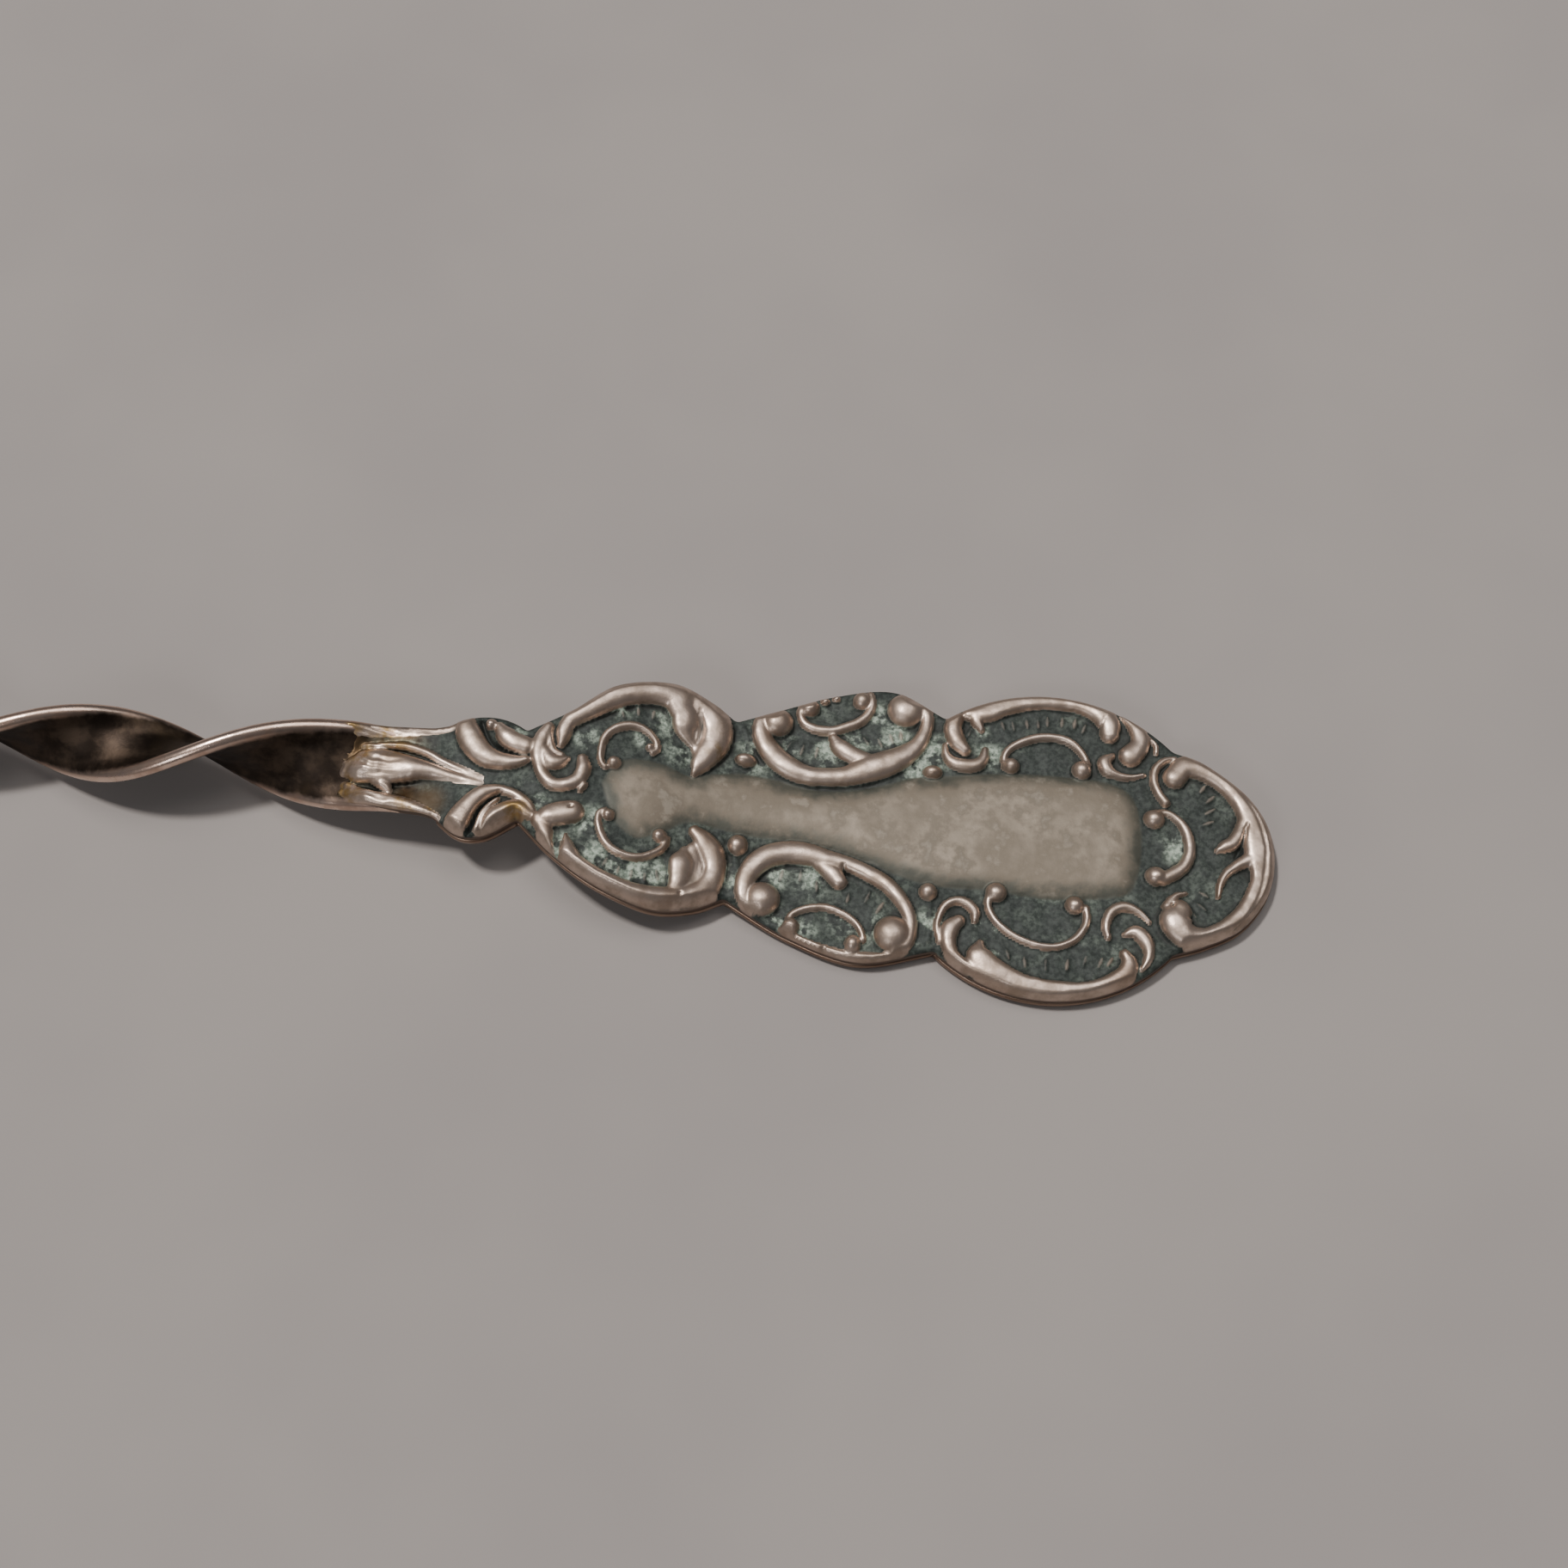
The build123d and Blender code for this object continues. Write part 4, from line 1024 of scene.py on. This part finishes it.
def struck_material():
    n = Nodes("struck_silver")
    pit, metal = n.value("pit"), n.value("metal")
    panel, wall = n.value("panel"), n.value("wall")
    mottle, fine, broad = n.noise(900), n.noise(4200, 3), n.noise(260, 3)

    worn = n.plus(metal, n.times(n.maths("SUBTRACT", mottle, .5), .4))
    # In creases the silver gives way to the dark ground: patina there, partly painted shade
    creased = n.ramp(pit, .1, .6, 0.0, .8)
    bare = n.maths("SUBTRACT", n.ramp(worn, .12, .42), creased, clamp=True)
    plain = n.times(n.ramp(panel, -.12, .06), n.ramp(metal, .05, .3, 1.0, 0.0))
    colour = n.mix(bare, recess_colour(n, pit, mottle, fine, broad), scroll_colour(n, mottle, broad))
    colour = n.mix(plain, colour, panel_colour(n, panel, mottle, broad))
    # The wall round the outline is painted brown as shade, the dark surroundings reflected in it
    n.drive("Base Color", n.mix(n.times(wall, .8), colour, PAINTED_WALL_SHADE))

    shine = n.maths("MAXIMUM", bare, n.times(plain, .35))
    shine = n.maths("MAXIMUM", shine, n.times(n.value("strip"), .8))
    n.drive("Metallic", n.ramp(shine, 0.0, 1.0, .15, .92))
    rough = n.ramp(shine, 0.0, 1.0, .68, .4)
    n.drive("Roughness", n.plus(rough, n.ramp(mottle, .3, .7, -.05, .1)))
    n.bump(n.plus(n.times(fine, .6), mottle), .35, .00005)
    return n.material


def plain_material():
    n = Nodes("plain_silver")
    mottle, fine = n.noise(500), n.noise(3000, 3)
    face = n.mottled(mottle, .35, .65, BACK)
    # The edge wall is painted brown as shade, the dark surroundings reflected in it
    edge = n.mottled(mottle, .35, .65, PAINTED_BACK_EDGE_SHADE)
    n.drive("Base Color", n.mix(n.value("wall"), face, edge))
    n.drive("Metallic", 1.0)
    n.drive("Roughness", n.ramp(mottle, .3, .7, .3, .48))
    n.bump(fine, .3, .00004)
    return n.material


def strip_material():
    n = Nodes("strip_silver")
    mottle, fine, broad = n.noise(700), n.noise(3500, 3), n.noise(180, 3)
    # Near-black faces: painted dark reflection in the dished web
    face = n.mottled(mottle, .4, .65, STRIP)
    face = n.mix(n.ramp(broad, .5, .66, 0.0, .3), face, STRIP_WARM)
    # The rims, laid along the strip's edges below: worn bright silver, made paler still as painted highlight
    rim = n.mottled(mottle, .35, .7, STRIP_RIM)
    worn = n.plus(n.value("across"), n.times(n.maths("SUBTRACT", mottle, .5), .3))
    bare = n.ramp(worn, .68, .95)
    n.drive("Base Color", n.mix(bare, face, rim))
    n.drive("Metallic", 1.0)
    n.drive("Roughness", n.plus(n.ramp(mottle, .3, .7, .42, .54), n.times(bare, -.2)))
    n.bump(fine, .25, .00004)
    return n.material


def turned_material(name, pair, rough):
    """Metal with fine turning marks round the stem's axis."""
    n = Nodes(name)
    stretch = n.add("Mapping")
    stretch.inputs["Scale"].default_value = (6000, 300, 300)
    n.link(n.point, stretch.inputs["Vector"])
    marks = n.add("TexNoise")
    marks.inputs["Scale"].default_value = 1.0
    n.link(stretch.outputs["Vector"], marks.inputs["Vector"])
    mottle = n.noise(450)
    n.drive("Base Color", n.mottled(mottle, .35, .68, pair))
    n.drive("Metallic", 1.0)
    n.drive("Roughness", n.ramp(mottle, .3, .7, rough, rough + .14))
    n.bump(marks.outputs["Fac"], .3, .00003)
    return n.material


def floor_material():
    n = Nodes("pale_floor")
    n.drive("Base Color", n.mottled(n.noise(35, 3), .3, .7, FLOOR))
    n.drive("Roughness", .9)
    return n.material


# Stage

VIEW_CENTRE = (ROOT_X + 13.57, 2.56, FLOOR_Z)
VIEW_DISTANCE = 103.48
VIEW_ELEVATION = 66.0
VIEW_AZIMUTH = 5.6
FIELD_OF_VIEW = 45.0

# Name, azimuth, elevation, distance, size, power and colour
SOFTBOXES = [
    ("key", -113, 68, 2.5, (.3, .24), 52, (1.0, .96, .93)),
    ("top", 150, 72, 1.5, (.9, .6), 6.0, (1.0, .97, .95)),
    ("front", -30, 38, 1.8, (.8, .5), 5.5, (.98, .98, 1.0)),
]
WORLD_COLOUR, WORLD_STRENGTH = (.62, .62, .64, 1), .17
FLOOR_HALF, FLOOR_GAP = 3.0, .00002


def direction(azimuth, elevation):
    """Unit vector to a place round the object. Azimuth 0 is in front, at -Y."""
    a, e = math.radians(azimuth), math.radians(elevation)
    return Vector((math.sin(a) * math.cos(e), -math.cos(a) * math.cos(e), math.sin(e)))


def place_looking(name, data, azimuth, elevation, distance):
    """A camera or a light, some metres away, that faces the view's centre."""
    thing = bpy.data.objects.new(name, data)
    way = direction(azimuth, elevation)
    thing.location = Vector(VIEW_CENTRE) * MM + way * distance
    thing.rotation_euler = (-way).to_track_quat("-Z", "Y").to_euler()
    bpy.context.scene.collection.objects.link(thing)
    return thing


def make_camera():
    data = bpy.data.cameras.new("camera")
    data.sensor_width = 36
    data.angle = math.radians(FIELD_OF_VIEW)
    data.clip_start = .002
    data.clip_end = 10
    camera = place_looking("camera", data, VIEW_AZIMUTH, VIEW_ELEVATION, VIEW_DISTANCE * MM)
    bpy.context.scene.camera = camera


def make_lights():
    for name, azimuth, elevation, distance, size, power, colour in SOFTBOXES:
        data = bpy.data.lights.new(name, "AREA")
        data.shape = "RECTANGLE"
        data.size, data.size_y = size
        data.energy = power
        data.color = colour
        place_looking(name, data, azimuth, elevation, distance)
    world = bpy.data.worlds.new("studio")
    world.use_nodes = True
    background = world.node_tree.nodes["Background"]
    background.inputs["Color"].default_value = WORLD_COLOUR
    background.inputs["Strength"].default_value = WORLD_STRENGTH
    bpy.context.scene.world = world


def make_floor():
    half, x, z = FLOOR_HALF, ROOT_X * MM, FLOOR_Z * MM - FLOOR_GAP
    corners = [(x - half, -half, z), (x + half, -half, z), (x + half, half, z), (x - half, half, z)]
    floor = new_object("floor", corners, [[0, 1, 2, 3]])
    floor.data.materials.append(floor_material())


def finish_piece(piece, material, slot, *nodes):
    piece.data.materials.append(material)
    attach(piece, "root")
    if nodes:
        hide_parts(*nodes)


def main():
    make_camera()
    make_lights()
    make_floor()
    ring = outline_points()
    front = head_front(head_relief(np.vstack([ring, SLEEVE[1:-1]])))
    finish_piece(front, struck_material(), "struck_silver", "head_front")
    finish_piece(head_back(ring), plain_material(), "plain_silver", "head_back")
    finish_piece(twisted_shank(), strip_material(), "strip_silver", "twisted_shank")
    silver = turned_material("collar_silver", COLLAR, .24)
    steel = turned_material("stem_steel", STEEL, .26)
    finish_piece(lathe("turned_collar", collar_profile()), silver, "collar_silver", "stem_collar")
    finish_piece(lathe("long_stem", stem_profile()), steel, "stem_steel", "pin_stem")


main()
